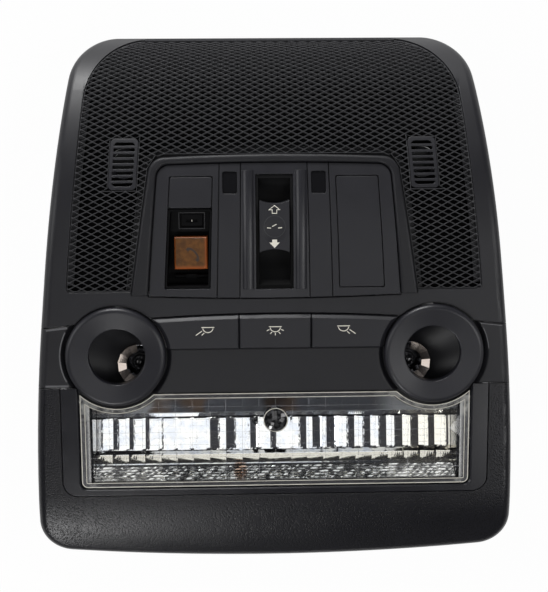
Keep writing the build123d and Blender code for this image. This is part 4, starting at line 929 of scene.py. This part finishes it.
# %% The lining as one shell
ROOF_Y = -22.0
ROOF_Z = -24.2
BROW_Y = -33.0
BROW_FOOT_Y = -34.7
BROW_X = 48.0
BROW_REACH = 13.0
BROW_RISE = 0.32
FLUTE_LIP = (-35.2, -23.7)
FLUTE_FOOT = (-50.3, -20.4)
SHELF_BACK = (-50.9, -15.4)
SHELF_FRONT = (-53.2, -14.84)
SHELF_FOOT = (-53.8, -15.1)
GUTTER = (-55.8, -15.13)
SCALLOP = 0.95
SCALLOP_LEAST = 0.25
SCALLOP_FULL_X = 85.0
LOW_ROW_STEPS = 5
LOW_ROW_TOP = (-56.2, -12.8)
LOW_ROW_END = (-60.4, -4.1)
TREAD = 0.6
TREAD_RISE = 0.13
CHIP = 0.26
CHIP_TURNS = (7.1, 3.7)
CHIP_STRETCH = 437.5
CALM = 0.18
CALM_X = (40.0, 66.0)


def chip(x, row):
    """Uneven height of a corner of the faceted row, the same at every run."""
    return CHIP * ((math.sin(CHIP_TURNS[0] * x + CHIP_TURNS[1] * row) * CHIP_STRETCH) % 1 - 0.5)


def lining_column(x, share, height):
    """Places along Y and heights of the lining at x, at a share of its flute."""
    middle = x + (0.5 - share) * FLUTE_PITCH
    lean = mirror_slope(middle, 0.0) * (x - middle)
    brow = BROW_RISE * max(0.0, 1 - ((abs(x) - BROW_X) / BROW_REACH) ** 2)
    fall = share if middle < 0 else 1 - share
    deep = SCALLOP * min(1.0, SCALLOP_LEAST + abs(middle) / SCALLOP_FULL_X)
    drop = deep * (2 * fall * fall * (3 - 2 * fall) - 1)
    rows = [(ROOF_Y, ROOF_Z), (BROW_Y, ROOF_Z), (BROW_FOOT_Y, ROOF_Z + brow), FLUTE_LIP]
    rows += [(FLUTE_TOP[0], FLUTE_TOP[1] + height), (FLUTE_LOW[0], FLUTE_LOW[1] + height), FLUTE_FOOT]
    rows += [(SHELF_BACK[0], SHELF_BACK[1] + lean), (SHELF_FRONT[0] - drop, SHELF_FRONT[1] + lean),
             (SHELF_FOOT[0] - drop, SHELF_FOOT[1]), GUTTER]
    calm = 1 - CALM * min(1.0, max(0.0, (abs(middle) - CALM_X[0]) / (CALM_X[1] - CALM_X[0])))
    for step in range(LOW_ROW_STEPS):
        up = step / LOW_ROW_STEPS
        y = LOW_ROW_TOP[0] + (LOW_ROW_END[0] - LOW_ROW_TOP[0]) * up
        z = LOW_ROW_TOP[1] + (LOW_ROW_END[1] - LOW_ROW_TOP[1]) * up
        rows.append((y, z + lean + calm * chip(x, 2 * step)))
        rows.append((y - TREAD, z + TREAD_RISE + lean + calm * chip(x, 2 * step + 1)))
    rows.append(LOW_ROW_END)
    return [(x, y, z) for y, z in rows]


def lining():
    """Closed shell of all columns."""
    sheet = Sheet()
    loops = []
    for index in range(len(FLUTE_VIEWS)):
        for step, (x, height) in enumerate(zip(*flute_heights(index))):
            column = lining_column(x, step / FLUTE_STEPS, height)
            back = [at(x, y, z - SKIN_T) for x, y, z in column]
            loops.append(back + [at(*p) for p in reversed(column)])
    for here, after in zip(loops, loops[1:]):
        skin(sheet, here, after)
    for row in range(len(loops[0]) // 2 - 1):
        for loop, way in ((loops[0], 1), (loops[-1], -1)):
            end = [loop[-1 - row], loop[row], loop[row + 1], loop[-2 - row]]
            sheet.face(end[::way])
    return sheet


print("lining of", len(FLUTE_VIEWS) * (FLUTE_STEPS + 1), "columns")

# %% [markdown]
# The silver isn't even, and part of that is painted light. The roof strip is painted dark, with brown
# patches and lighter ends, as a painted reflection of the dim sky it mirrors; the flutes at the right are
# warmer, the shelf is dull, the lower row is painted brighter and partly diffuse at its ends, also a
# painted reflection, and a brown stain lies near its middle. One material is enough for all of it: masks
# worked out from the place on the console blend the tones.

# %% Silver of the lining
STAIN_AT = (-16.5, -57.5)
STAIN_R = 4.0
END_X = (46.0, 60.0)
WARM_X = (48.0, 70.0)
LOW_ROW_Y = (-56.4, -55.4)
SHELF_LOW_Y = (-55.2, -54.8)
SHELF_TOP_Y = (-51.2, -50.9)
ROOF_SOFT = 0.5


def lining_recipe(place):
    across = along(place, "X")
    down = along(place, "Y")
    low_row = 1 - fade(down, *LOW_ROW_Y)
    shelf = fade(down, *SHELF_LOW_Y) * (1 - fade(down, *SHELF_TOP_Y))
    roof = fade(down, BROW_Y - ROOF_SOFT, BROW_Y + ROOF_SOFT)
    cloud = noise(place, 5)
    off_x = across - STAIN_AT[0]
    off_y = down - STAIN_AT[1]
    stain = 0.7 - 0.7 * fade(off_x * off_x + off_y * off_y, 1.0, STAIN_R * STAIN_R)
    silver = blend(fade(cloud, 0.35, 0.65), (0.80, 0.83, 0.87, 1), (0.95, 0.95, 0.92, 1))
    # Painted reflection: towards its ends the lower row is painted lighter and partly diffuse, and the roof
    # strip lighter too.
    ends = beyond(across, END_X)
    low_tone = blend(ends, (0.60, 0.61, 0.60, 1), (0.96, 0.96, 0.93, 1))
    silver = blend(fade(across, *WARM_X), silver, (0.93, 0.90, 0.80, 1))
    tone = blend(shelf, blend(low_row, silver, low_tone), (0.60, 0.58, 0.51, 1))
    # Painted reflection: the roof strip is painted dark, with brown patches, for the dim sky it mirrors.
    roof_painted_reflection = blend(ends, (0.095, 0.100, 0.112, 1), (0.33, 0.34, 0.35, 1))
    roof_painted_reflection = blend(fade(noise(place, 26), 0.56, 0.68), roof_painted_reflection, (0.112, 0.080, 0.060, 1))
    tone = blend(roof, tone, roof_painted_reflection)
    tone = blend(stain, tone, (0.33, 0.17, 0.07, 1))
    ripple = noise(place, 1.8, 2)
    return {"Base Color": tone, "Roughness": 0.05 + 0.05 * low_row + 0.25 * roof,
            "Normal": bump(ripple, 0.03), "Metallic": 1 - 0.22 * (ends * low_row)}


silvered = finish("silvered_lining", lining_recipe)
lining().made("reflector_lining", silvered, "console", "bright_reflector")

# %% [markdown]
# ## Facets of the reading lamps
# Past the black cone one sees a part of each lamp's bowl: a ring of bright facets round the bulb. Each
# facet is a small flat mirror, and as with the flutes its tilt follows from what it shows: one facet in
# each lamp shows the overhead softbox, and the others show the dim room over their own axis.

# %% Facets in the two bowls
FACET_X = 63.4
FACET_Y = -6.6
FACET_Z = -12.2
FACET_R = (6.0, 9.9)
FACET_START = 95.0
FACET_TURN = 26.0
FACET_GAP = 0.8
FACET_T = 0.35
FACET_SHOWS = [1.0, 1.0, 0.9, 0.0, 0.85, 1.0]
FACET_TONES = [(0.50, 0.42, 0.36, 1), (0.68, 0.61, 0.56, 1)]
ROOM_REACH = 680.0


def facet(sheet, side, index, aside):
    """One mirror of a bowl; aside is how far from the softbox's middle it looks, from 0 to 1."""
    start = FACET_START + index * FACET_TURN
    corners = []
    for radius, turn in ((FACET_R[0], 0), (FACET_R[1], 0), (FACET_R[1], 1), (FACET_R[0], 1)):
        angle = math.radians(start + turn * (FACET_TURN - FACET_GAP))
        corners.append((side * (radius * -math.cos(angle) + FACET_X), FACET_Y + radius * math.sin(angle)))
    if side > 0:
        corners.reverse()
    middle = Vector((sum(x for x, y in corners) / 4, sum(y for x, y in corners) / 4, FACET_Z))
    inwards = (Vector((side * FACET_X, FACET_Y, FACET_Z)) - middle).normalized()
    target = BOX_MIDDLE.lerp(middle + inwards * ROOM_REACH + Vector((0, 0, BOX_MIDDLE.z)), aside)
    normal = (EYE - middle).normalized() + (target - middle).normalized()

    def place(x, y, lift):
        drop = (normal.x * (x - middle.x) + normal.y * (y - middle.y)) / normal.z
        return at(x, y, FACET_Z - drop + lift)

    plate(sheet, corners, -FACET_T, 0.0, place)


facet_silver = finish("facet_silver", cloudy(3, FACET_TONES, 0.16, 0.1), Metallic=1.0)
for side, name in ((-1, "left_lamp_facets"), (1, "right_lamp_facets")):
    facets = Sheet()
    for index, aside in enumerate(FACET_SHOWS):
        facet(facets, side, index, aside)
    facets.made(name, facet_silver, "console", "bright_reflector")

# %% [markdown]
# ## Edge and ribs of the lens
# The clear lens shows as lines: its polished rim catches the light twice, once at the outside and once
# where the lens turns down to its flange, and its back has a faint grid of ribs. They could be left to
# refraction, but thin strips let into the front of the solid lens are surer to show; the two rim lines and
# the ring round the bead are painted highlights, strips of a light cream. The rim between the two lines is
# a dim grey veil, frosted beside the lamp rings, and at the lens's two ends the veil and two strips over it
# are dark and nearly opaque: painted shade.

# %% Outline of the lens
LENS_LOW, LENS_HIGH = span("dome_lens")
LENS_HALF = LENS_HIGH.x
LENS_TOP_Y = LENS_HIGH.y
LENS_CORNER_R = 3.0
LENS_CORNER_STEPS = 5
LENS_RING_R = 24.4
LENS_RING_STEPS = 16
FLANGE_LINE = (2.4, 0.32)


def lens_outline(inset):
    """Outline of the lens, anticlockwise, moved inwards."""
    half = LENS_HALF - inset
    top = LENS_TOP_Y - inset
    low = LENS_LOW.y + LENS_CORNER_R
    radius = LENS_RING_R + inset
    corner = LENS_CORNER_R - inset
    right = arc(LENS_HALF - LENS_CORNER_R, low, corner, corner, -90, 0, LENS_CORNER_STEPS)
    reach = half - LAMP_X
    side_y = -math.sqrt(radius ** 2 - reach ** 2)
    start = math.degrees(math.atan2(side_y, reach))
    if side_y > top:
        right.append((half, top))
        start = math.degrees(math.asin(top / radius))
    end = -180 - math.degrees(math.asin(top / radius))
    right += arc(LAMP_X, 0, radius, radius, start, end, LENS_RING_STEPS)
    return right + mirrored(right)


def lens_top(x):
    """Upper edge of the lens at x."""
    reach = abs(x) - LAMP_X
    room = LENS_RING_R ** 2 - reach ** 2
    return min(LENS_TOP_Y, -math.sqrt(room)) if room > 0 else LENS_TOP_Y


def lens_left(y):
    """Where a rib across the lens starts beside the ring, or at the lens's side."""
    room = LENS_RING_R ** 2 - y ** 2
    return LAMP_X - math.sqrt(room) if room > 0 else LENS_HALF


def upright(x):
    """Line up the lens at x, between the flange lines."""
    return [(x, LENS_LOW.y + FLANGE_LINE[0]), (x, lens_top(x) - FLANGE_LINE[0])]


print("lens outline", len(lens_outline(0.0)), "points")

# %% Finishes of the lens lines
END_SHADE_X = (86.0, 87.4)
SIDE_FROST = (83.2, 84.0)
RING_FROST_X = (44.0, 54.0)
RING_FROST_Y = (-31.0, -28.0)
RIM_HIGHLIGHT_TONES = [(0.42, 0.40, 0.35, 1), (0.80, 0.77, 0.68, 1)]


def rib_recipe(place):
    cloud = noise(place, 9)
    return {"Base Color": blend(cloud, grey(0.5), grey(0.7)), "Roughness": 0.3 + 0.1 * cloud,
            "Alpha": 0.10 + 0.25 * fade(cloud, 0.35, 0.65)}


def veil_recipe(place):
    cloud = noise(place, 4)
    across = along(place, "X")
    # Painted shade: at the lens's two ends the veil is darker and more opaque.
    ends = beyond(across, END_SHADE_X)
    frosted = beyond(across, SIDE_FROST) * (1 - ends)
    round_ring = beyond(across, RING_FROST_X) * fade(along(place, "Y"), *RING_FROST_Y)
    tone = blend(frosted, blend(cloud, grey(0.05), grey(0.14)), (0.32, 0.32, 0.31, 1))
    tone = blend(round_ring * fade(cloud, 0.3, 0.6), tone, (0.36, 0.36, 0.34, 1))
    return {"Base Color": tone, "Roughness": 0.2 + 0.1 * cloud,
            "Alpha": 0.4 + 0.2 * cloud + 0.3 * ends}


rim_highlight = finish("lens_rim_highlight", cloudy(7, RIM_HIGHLIGHT_TONES, 0.22, 0.1), Specular_IOR_Level=0.6)
rib_clear = finish("lens_rib_clear", rib_recipe)
veil_grey = finish("lens_rim_veil_and_end_shade", veil_recipe)
print("lens finishes", rim_highlight.name, rib_clear.name, veil_grey.name)

# %% Rim lines as painted highlights, the veil, and painted shade at the ends
LINE_LOW = LENS_HIGH.z - 0.04
LINE_HIGH = LENS_HIGH.z + 0.05
RIM_LINE = (0.45, 0.42)
BEAD_R = 5.6
BEAD_LINE = (5.5, 0.3)
BEAD_RISE = 0.1
VEIL = (1.42, 1.5)
VEIL_SINK = 0.02
END_SHADE_STRIP = (3.6, 2.1)
END_SHADE_SINK = 0.01
lines = Sheet()
# Painted highlights: the two rim lines and the ring round the bead are light cream strips.
for inset, width in (RIM_LINE, FLANGE_LINE):
    strip(lines, lens_outline(inset), width, LINE_LOW, LINE_HIGH, closed=True)
bead_line = circle(0, span("sensor_bead")[1].y - BEAD_R, BEAD_LINE[0])
strip(lines, bead_line, BEAD_LINE[1], LINE_LOW, LINE_HIGH + BEAD_RISE, closed=True)
lines.made("lens_rim_highlight_lines", rim_highlight, "console", "clear_lens")
veil = Sheet()
strip(veil, lens_outline(VEIL[0]), VEIL[1], LINE_LOW, LINE_HIGH - VEIL_SINK, closed=True)
# Painted shade: a dark, nearly opaque strip over each end of the lens.
for side in (-1, 1):
    line = upright(side * (LENS_HALF - END_SHADE_STRIP[0]))
    strip(veil, line, END_SHADE_STRIP[1], LINE_LOW, LINE_HIGH - END_SHADE_SINK)
veil.made("lens_rim_veil_and_end_shade", veil_grey, "console", "clear_lens")

# %% Ribs of the lens
RIB_W = 0.16
RIB_SINK = 0.03
CROSS_RIBS = 6
CROSS_RIB_STEP = 6.0
CROSS_RIB_SINK = 0.035
ribs = Sheet()
for index in range(1, len(FLUTE_VIEWS)):
    line = upright(-SKIN_HALF + index * FLUTE_PITCH)
    strip(ribs, line, RIB_W, LINE_LOW, LINE_HIGH - RIB_SINK)
for index in range(1, CROSS_RIBS + 1):
    y = LENS_LOW.y + FLANGE_LINE[0] + index * CROSS_RIB_STEP
    reach = min(LENS_HALF, lens_left(y)) - FLANGE_LINE[0]
    strip(ribs, [(-reach, y), (reach, y)], RIB_W, LINE_LOW, LINE_HIGH - CROSS_RIB_SINK)
ribs.made("lens_ribs", rib_clear, "console", "clear_lens")

# %% [markdown]
# ## Signs on the keys
# The lamp buttons carry a bowl with rays, and the roof switch carries arrows and a switch sign. They are
# pad printed in a warm white, a layer one would not feel, so thin strips on the key are enough. Each
# rides on the body of its key, so it goes down with it.

# %% Strokes on the lamp buttons
INK_T = 0.04
STROKE = 0.36
KEY_TOP = span("left_button")[1].z
SIGN_Y = 13.45
BOWL_HALF = 2.95
BOWL_X = 2.35
BOWL_Y = 2.2
BOWL_SWEEP = (186, 354, 14)
LEFT_SIGN_X = -30.75
RIGHT_SIGN_X = 31.25
SIDE_RAYS = [((2.75, 11.75), (5.55, 9.8)), ((1.65, 10.95), (2.85, 9.8))]
DOWN_RAYS = [((2.65, 12.15), (3.85, 11.6)), ((1.5, 11.05), (2.3, 10.1))]
MIDDLE_RAY = [((0.0, 10.6), (0.0, 9.4))]
INK_TONES = [(0.74, 0.71, 0.60, 1), (0.88, 0.85, 0.76, 1)]


def bowl_sign(x, rays):
    """Bar, bowl and rays of a lamp sign."""
    sheet = Sheet()
    low, high = KEY_TOP - INK_T / 2, KEY_TOP + INK_T
    strip(sheet, [(x - BOWL_HALF, SIGN_Y), (x + BOWL_HALF, SIGN_Y)], STROKE, low, high)
    bowl = arc(x, SIGN_Y - STROKE / 2, BOWL_X, BOWL_Y, *BOWL_SWEEP)
    strip(sheet, bowl, STROKE, low, high - INK_T / 4)
    for start, end in rays:
        strip(sheet, [(x + start[0], start[1]), (x + end[0], end[1])], STROKE, low, high - INK_T / 4)
    return sheet


def turned(rays):
    """Rays on the other side of the bowl."""
    return [((-a[0], a[1]), (-b[0], b[1])) for a, b in rays]


ink = finish("warm_white_ink", cloudy(0.6, INK_TONES, 0.45, 0.1, 3))
all_rays = DOWN_RAYS + MIDDLE_RAY + turned(DOWN_RAYS)
bowl_sign(LEFT_SIGN_X, turned(SIDE_RAYS)).made("left_lamp_sign", ink, "left_key", "chip_white")
bowl_sign(0.0, all_rays).made("dome_lamp_sign", ink, "centre_key", "chip_white")
bowl_sign(RIGHT_SIGN_X, SIDE_RAYS).made("right_lamp_sign", ink, "right_key", "chip_white")

# %% Arrows on the roof switch
CAP_MIDDLE_Y = 59.2
DIMPLE_R = 5.0
DIMPLE_DEEP = 0.5
DIMPLE_BALL = (DIMPLE_R ** 2 + DIMPLE_DEEP ** 2) / (2 * DIMPLE_DEEP)
ARROW_UP = [(1.05, 65.1), (1.05, 66.7), (2.4, 66.7), (0.0, 68.6),
            (-2.4, 66.7), (-1.05, 66.7), (-1.05, 65.1)]
ARROW_DOWN = [(-1.15, 53.3), (-1.15, 52.0), (-2.45, 52.0), (-0.05, 49.5),
              (2.3, 52.0), (1.05, 52.0), (1.05, 53.3)]
SWITCH_SIGN = [[(-3.4, 58.65), (-1.6, 58.5)], [(-1.1, 59.2), (1.4, 60.5)],
               [(1.6, 58.5), (3.4, 58.65)]]


def on_cap(x, y, lift):
    """Point over the cap of the roof switch, which has a round dimple."""
    off = x * x + (y - CAP_MIDDLE_Y) ** 2
    sunk = 0.0
    if off < DIMPLE_R ** 2:
        sunk = math.sqrt(DIMPLE_BALL ** 2 - off) - (DIMPLE_BALL - DIMPLE_DEEP)
    return on_face(x, y, lift - sunk)


def cap_signs():
    """Outlined arrow up, filled arrow down and the switch sign between them."""
    sheet = Sheet()
    strip(sheet, ARROW_UP, 0.8 * STROKE, -INK_T, INK_T, on_cap, closed=True)
    plate(sheet, ARROW_DOWN, -INK_T, INK_T, on_cap)
    for line in SWITCH_SIGN:
        strip(sheet, line, STROKE, -2 * INK_T, 2.5 * INK_T, on_cap)
    return sheet


cap_signs().made("roof_switch_signs", ink, "roof_cap", "chip_white")

# %% [markdown]
# ## Small marks in the call compartment and on the cap
# The latch shows a thin lighter outline round its plunger and a worn bright pin, and the edge of the dimple
# of the roof switch's cap catches the light, drawn as a painted highlight. On the amber key a plain handset
# sign has darkened to brown. They could be painted by a mask in the finish, but strips stay crisp at any
# size.

# %% Latch outline, pin, painted highlight on the dimple's edge, and handset
LATCH_LOW, LATCH_HIGH = span("latch_plunger")
MARK_SINK = 0.02
OUTLINE_GAP = 0.9
OUTLINE_W = 0.2
OUTLINE_RISE = 0.03
PIN_DOWN = (3.2, 2.3)
PIN_W = 0.3
PIN_RISE = 0.05
DIMPLE_LINE = (4.85, 0.2)
HANDSET = arc(-40.8, 43.4, 6.2, 6.2, 10, 72, 8)
HANDSET_W = 0.9
CUP_RUN = 1.0
CUP_W = 1.5
BURNT_TONES = [(0.018, 0.009, 0.005, 1), (0.040, 0.019, 0.009, 1)]
mark_grey = finish("latch_line_and_dimple_highlight_grey", cloudy(1.2, greys(0.030, 0.055), 0.35, 0.15, 3))
burnt = finish("burnt_amber_print", cloudy(1.0, BURNT_TONES, 0.4, 0.1, 3))
frame_line = Sheet()
housing_top = span("latch_housing")[1].z
left, right = LATCH_LOW.x - OUTLINE_GAP, LATCH_HIGH.x + OUTLINE_GAP
foot, top = LATCH_LOW.y - OUTLINE_GAP, LATCH_HIGH.y + OUTLINE_GAP
corners = [(left, foot), (right, foot), (right, top), (left, top)]
strip(frame_line, corners, OUTLINE_W, housing_top - MARK_SINK, housing_top + OUTLINE_RISE, closed=True)
frame_line.made("latch_outline", mark_grey, "console", "well_black")
pin = Sheet()
pin_x = (LATCH_LOW.x + LATCH_HIGH.x) / 2
pin_line = [(pin_x, LATCH_HIGH.y - down) for down in PIN_DOWN]
strip(pin, pin_line, PIN_W, LATCH_HIGH.z - MARK_SINK, LATCH_HIGH.z + PIN_RISE)
pin.made("latch_pin", ink, "latch", "chip_white")
# Painted highlight: a lighter ring along the dimple's edge.
dimple = Sheet()
dimple_line = circle(0, CAP_MIDDLE_Y, DIMPLE_LINE[0])
strip(dimple, dimple_line, DIMPLE_LINE[1], -INK_T, INK_T, on_cap, closed=True)
dimple.made("cap_dimple_painted_highlight", mark_grey, "roof_cap", "key_plastic")
handset = Sheet()
strip(handset, HANDSET, HANDSET_W, KEY_HIGH.z - MARK_SINK, KEY_HIGH.z + INK_T)
for x, y in (HANDSET[0], HANDSET[-1]):
    cup = [(x - CUP_RUN, y - CUP_RUN), (x, y)]
    strip(handset, cup, CUP_W, KEY_HIGH.z - MARK_SINK, KEY_HIGH.z + 0.8 * INK_T)
handset.made("handset_sign", burnt, "call_key", "amber_key")

# %% [markdown]
# ## Camera
# The photograph looks down on the console from above its nose. Its place, turn and lens were found by
# matching the outline and the lamp rings.

# %% Camera at the photograph's place
PHOTO_TALL = 592
FOCAL_PX = 1337.7
SENSOR_MM = 36.0
YAW = math.radians(1.87)
PITCH = math.radians(9.88)
ROLL = math.radians(0.31)


def make_camera():
    """Camera that looks along the photograph's view."""
    yaw = Matrix.Rotation(YAW, 3, "Y")
    pitch = Matrix.Rotation(PITCH, 3, "X")
    roll = Matrix.Rotation(ROLL, 3, "Z")
    turn = (roll @ pitch @ yaw).transposed()
    data = bpy.data.cameras.new("studio_camera")
    data.sensor_width = SENSOR_MM
    data.sensor_fit = "AUTO"
    data.lens = FOCAL_PX / PHOTO_TALL * SENSOR_MM
    camera = bpy.data.objects.new("studio_camera", data)
    camera.matrix_world = Matrix.Translation(at(*EYE)) @ turn.to_4x4()
    bpy.context.scene.collection.objects.link(camera)
    bpy.context.scene.camera = camera
    print("camera with a lens of", round(data.lens, 1), "mm")


make_camera()

# %% [markdown]
# ## Floor and sky
# The floor is pale and shows white to the camera, and keeps a little of the console's shadow. Right under
# the console it stays dim, so that no bright floor shows through the gaps between the pieces. Black
# plastic takes its drawing from what it mirrors, so the sky is dim and darkest overhead.

# %% Floor
FLOOR_REACH = 6.0
FLOOR_WHITE = 0.97
UNDER_HALF = 88.0
UNDER_LOW = -92.0
UNDER_TOP = 141.0
UNDER_SOFT = 16.0


def make_floor():
    """Wide pale floor that shows white and keeps a little shadow."""
    mesh = bpy.data.meshes.new("floor")
    signs = ((-1, -1), (1, -1), (1, 1), (-1, 1))
    mesh.from_pydata([(x * FLOOR_REACH, y * FLOOR_REACH, 0) for x, y in signs], [], [(0, 1, 2, 3)])
    floor = bpy.data.objects.new("floor", mesh)
    bpy.context.scene.collection.objects.link(floor)
    made = bpy.data.materials.new("white_floor")
    made.use_nodes = True
    tree = made.node_tree
    out = tree.nodes["Material Output"]
    ray = Wire.node(tree, "LightPath", out="Is Camera Ray")
    glossy = Wire(tree, ray.socket.node.outputs["Is Glossy Ray"])
    through = Wire(tree, ray.socket.node.outputs["Is Transmission Ray"])
    pale_floor = Wire.node(tree, "BsdfDiffuse", None, {"Color": grey(0.85, PLAIN)})
    white = Wire.node(tree, "Emission", None, {"Color": grey(1.0, PLAIN), "Strength": 1.0})
    place = Wire.node(tree, "TexCoord", out="Object")
    across = along(place, "X")
    down = along(place, "Y")
    clear_x = beyond(across, (UNDER_HALF - UNDER_SOFT, UNDER_HALF))
    over_tail = fade(down, UNDER_LOW, UNDER_LOW + UNDER_SOFT)
    inside_y = over_tail * (1 - fade(down, UNDER_TOP - UNDER_SOFT, UNDER_TOP))
    seen = FLOOR_WHITE * (ray + glossy + through) * (1 - (1 - clear_x) * inside_y)
    both = Wire.node(tree, "MixShader", None, {0: seen, 1: pale_floor, 2: white})
    tree.links.new(both.socket, out.inputs["Surface"])
    mesh.materials.append(made)


make_floor()
print("floor", 2 * FLOOR_REACH, "m wide")

# %% Sky
SKY = [(0.0, (0.35, 0.35, 0.36)), (0.35, (0.20, 0.20, 0.21)), (0.7, (0.07, 0.07, 0.075)),
       (1.0, (0.045, 0.045, 0.05))]


def make_sky():
    """Dim sky that changes with height."""
    world = bpy.data.worlds.new("studio_sky")
    bpy.context.scene.world = world
    world.use_nodes = True
    tree = world.node_tree
    way = Wire.node(tree, "TexCoord", out="Generated")
    height = Wire.node(tree, "SeparateXYZ", None, {"Vector": way}, out="Z")
    tone = Wire.node(tree, "ValToRGB", {"stops": SKY}, {"Fac": height})
    tree.links.new(tone.socket, tree.nodes["Background"].inputs["Color"])


make_sky()
print("sky of", len(SKY), "tones")

# %% [markdown]
# ## Softboxes
# A studio would hang large softboxes, and each is an area lamp here. One hangs overhead, which the flutes
# and the flat faces mirror. One on each side gives an even light, one stands before the nose, and a low
# strong one draws the light along its left corner. Three small ones behind the tail draw the left lamp
# ring, the tail's left corner and the right ear.


# %% Lamps round the console
def softbox(name, place, target, wide, tall, level):
    """Rectangular lamp whose face shines at a level, where 1 is white."""
    data = bpy.data.lights.new(name, "AREA")
    data.shape = "RECTANGLE"
    data.size = wide
    data.size_y = tall
    data.energy = level * math.pi * wide * tall
    lamp = bpy.data.objects.new(name, data)
    turn = (place - target).to_track_quat("Z", "Y").to_matrix().to_4x4()
    lamp.matrix_world = Matrix.Translation(place) @ turn
    bpy.context.scene.collection.objects.link(lamp)
    print(name, "at level", level)


under_box = at(BOX_MIDDLE.x, BOX_MIDDLE.y, 0)
middle_of_console = at(0, 20, 0)
softbox("overhead_box", at(*BOX_MIDDLE), under_box, 2 * BOX_HALF * MM, 0.45, 1.3)
softbox("left_box", at(-900, 250, 600), middle_of_console, 0.6, 0.6, 2.6)
softbox("right_box", at(640, 45, 740), middle_of_console, 0.22, 0.6, 5.0)
softbox("nose_box", at(0, 900, 650), middle_of_console, 0.8, 0.4, 0.7)
softbox("low_nose_box", at(-170, 900, 110), at(-60, 120, -20), 0.36, 0.14, 38.0)
softbox("ring_box", at(-150, -420, 700), at(-73, 17, 0), 0.16, 0.16, 4.5)
softbox("tail_box", at(-235, -620, 545), at(-94, -83, 0), 0.12, 0.2, 21.5)
softbox("right_tail_box", at(370, -220, 720), at(100, -20, 0), 0.24, 0.24, 2.4)

# %% [markdown]
# ## View transform
# The scene's colour view is set to Standard.

# %% Finish
scene = bpy.context.scene
scene.view_settings.view_transform = "Standard"
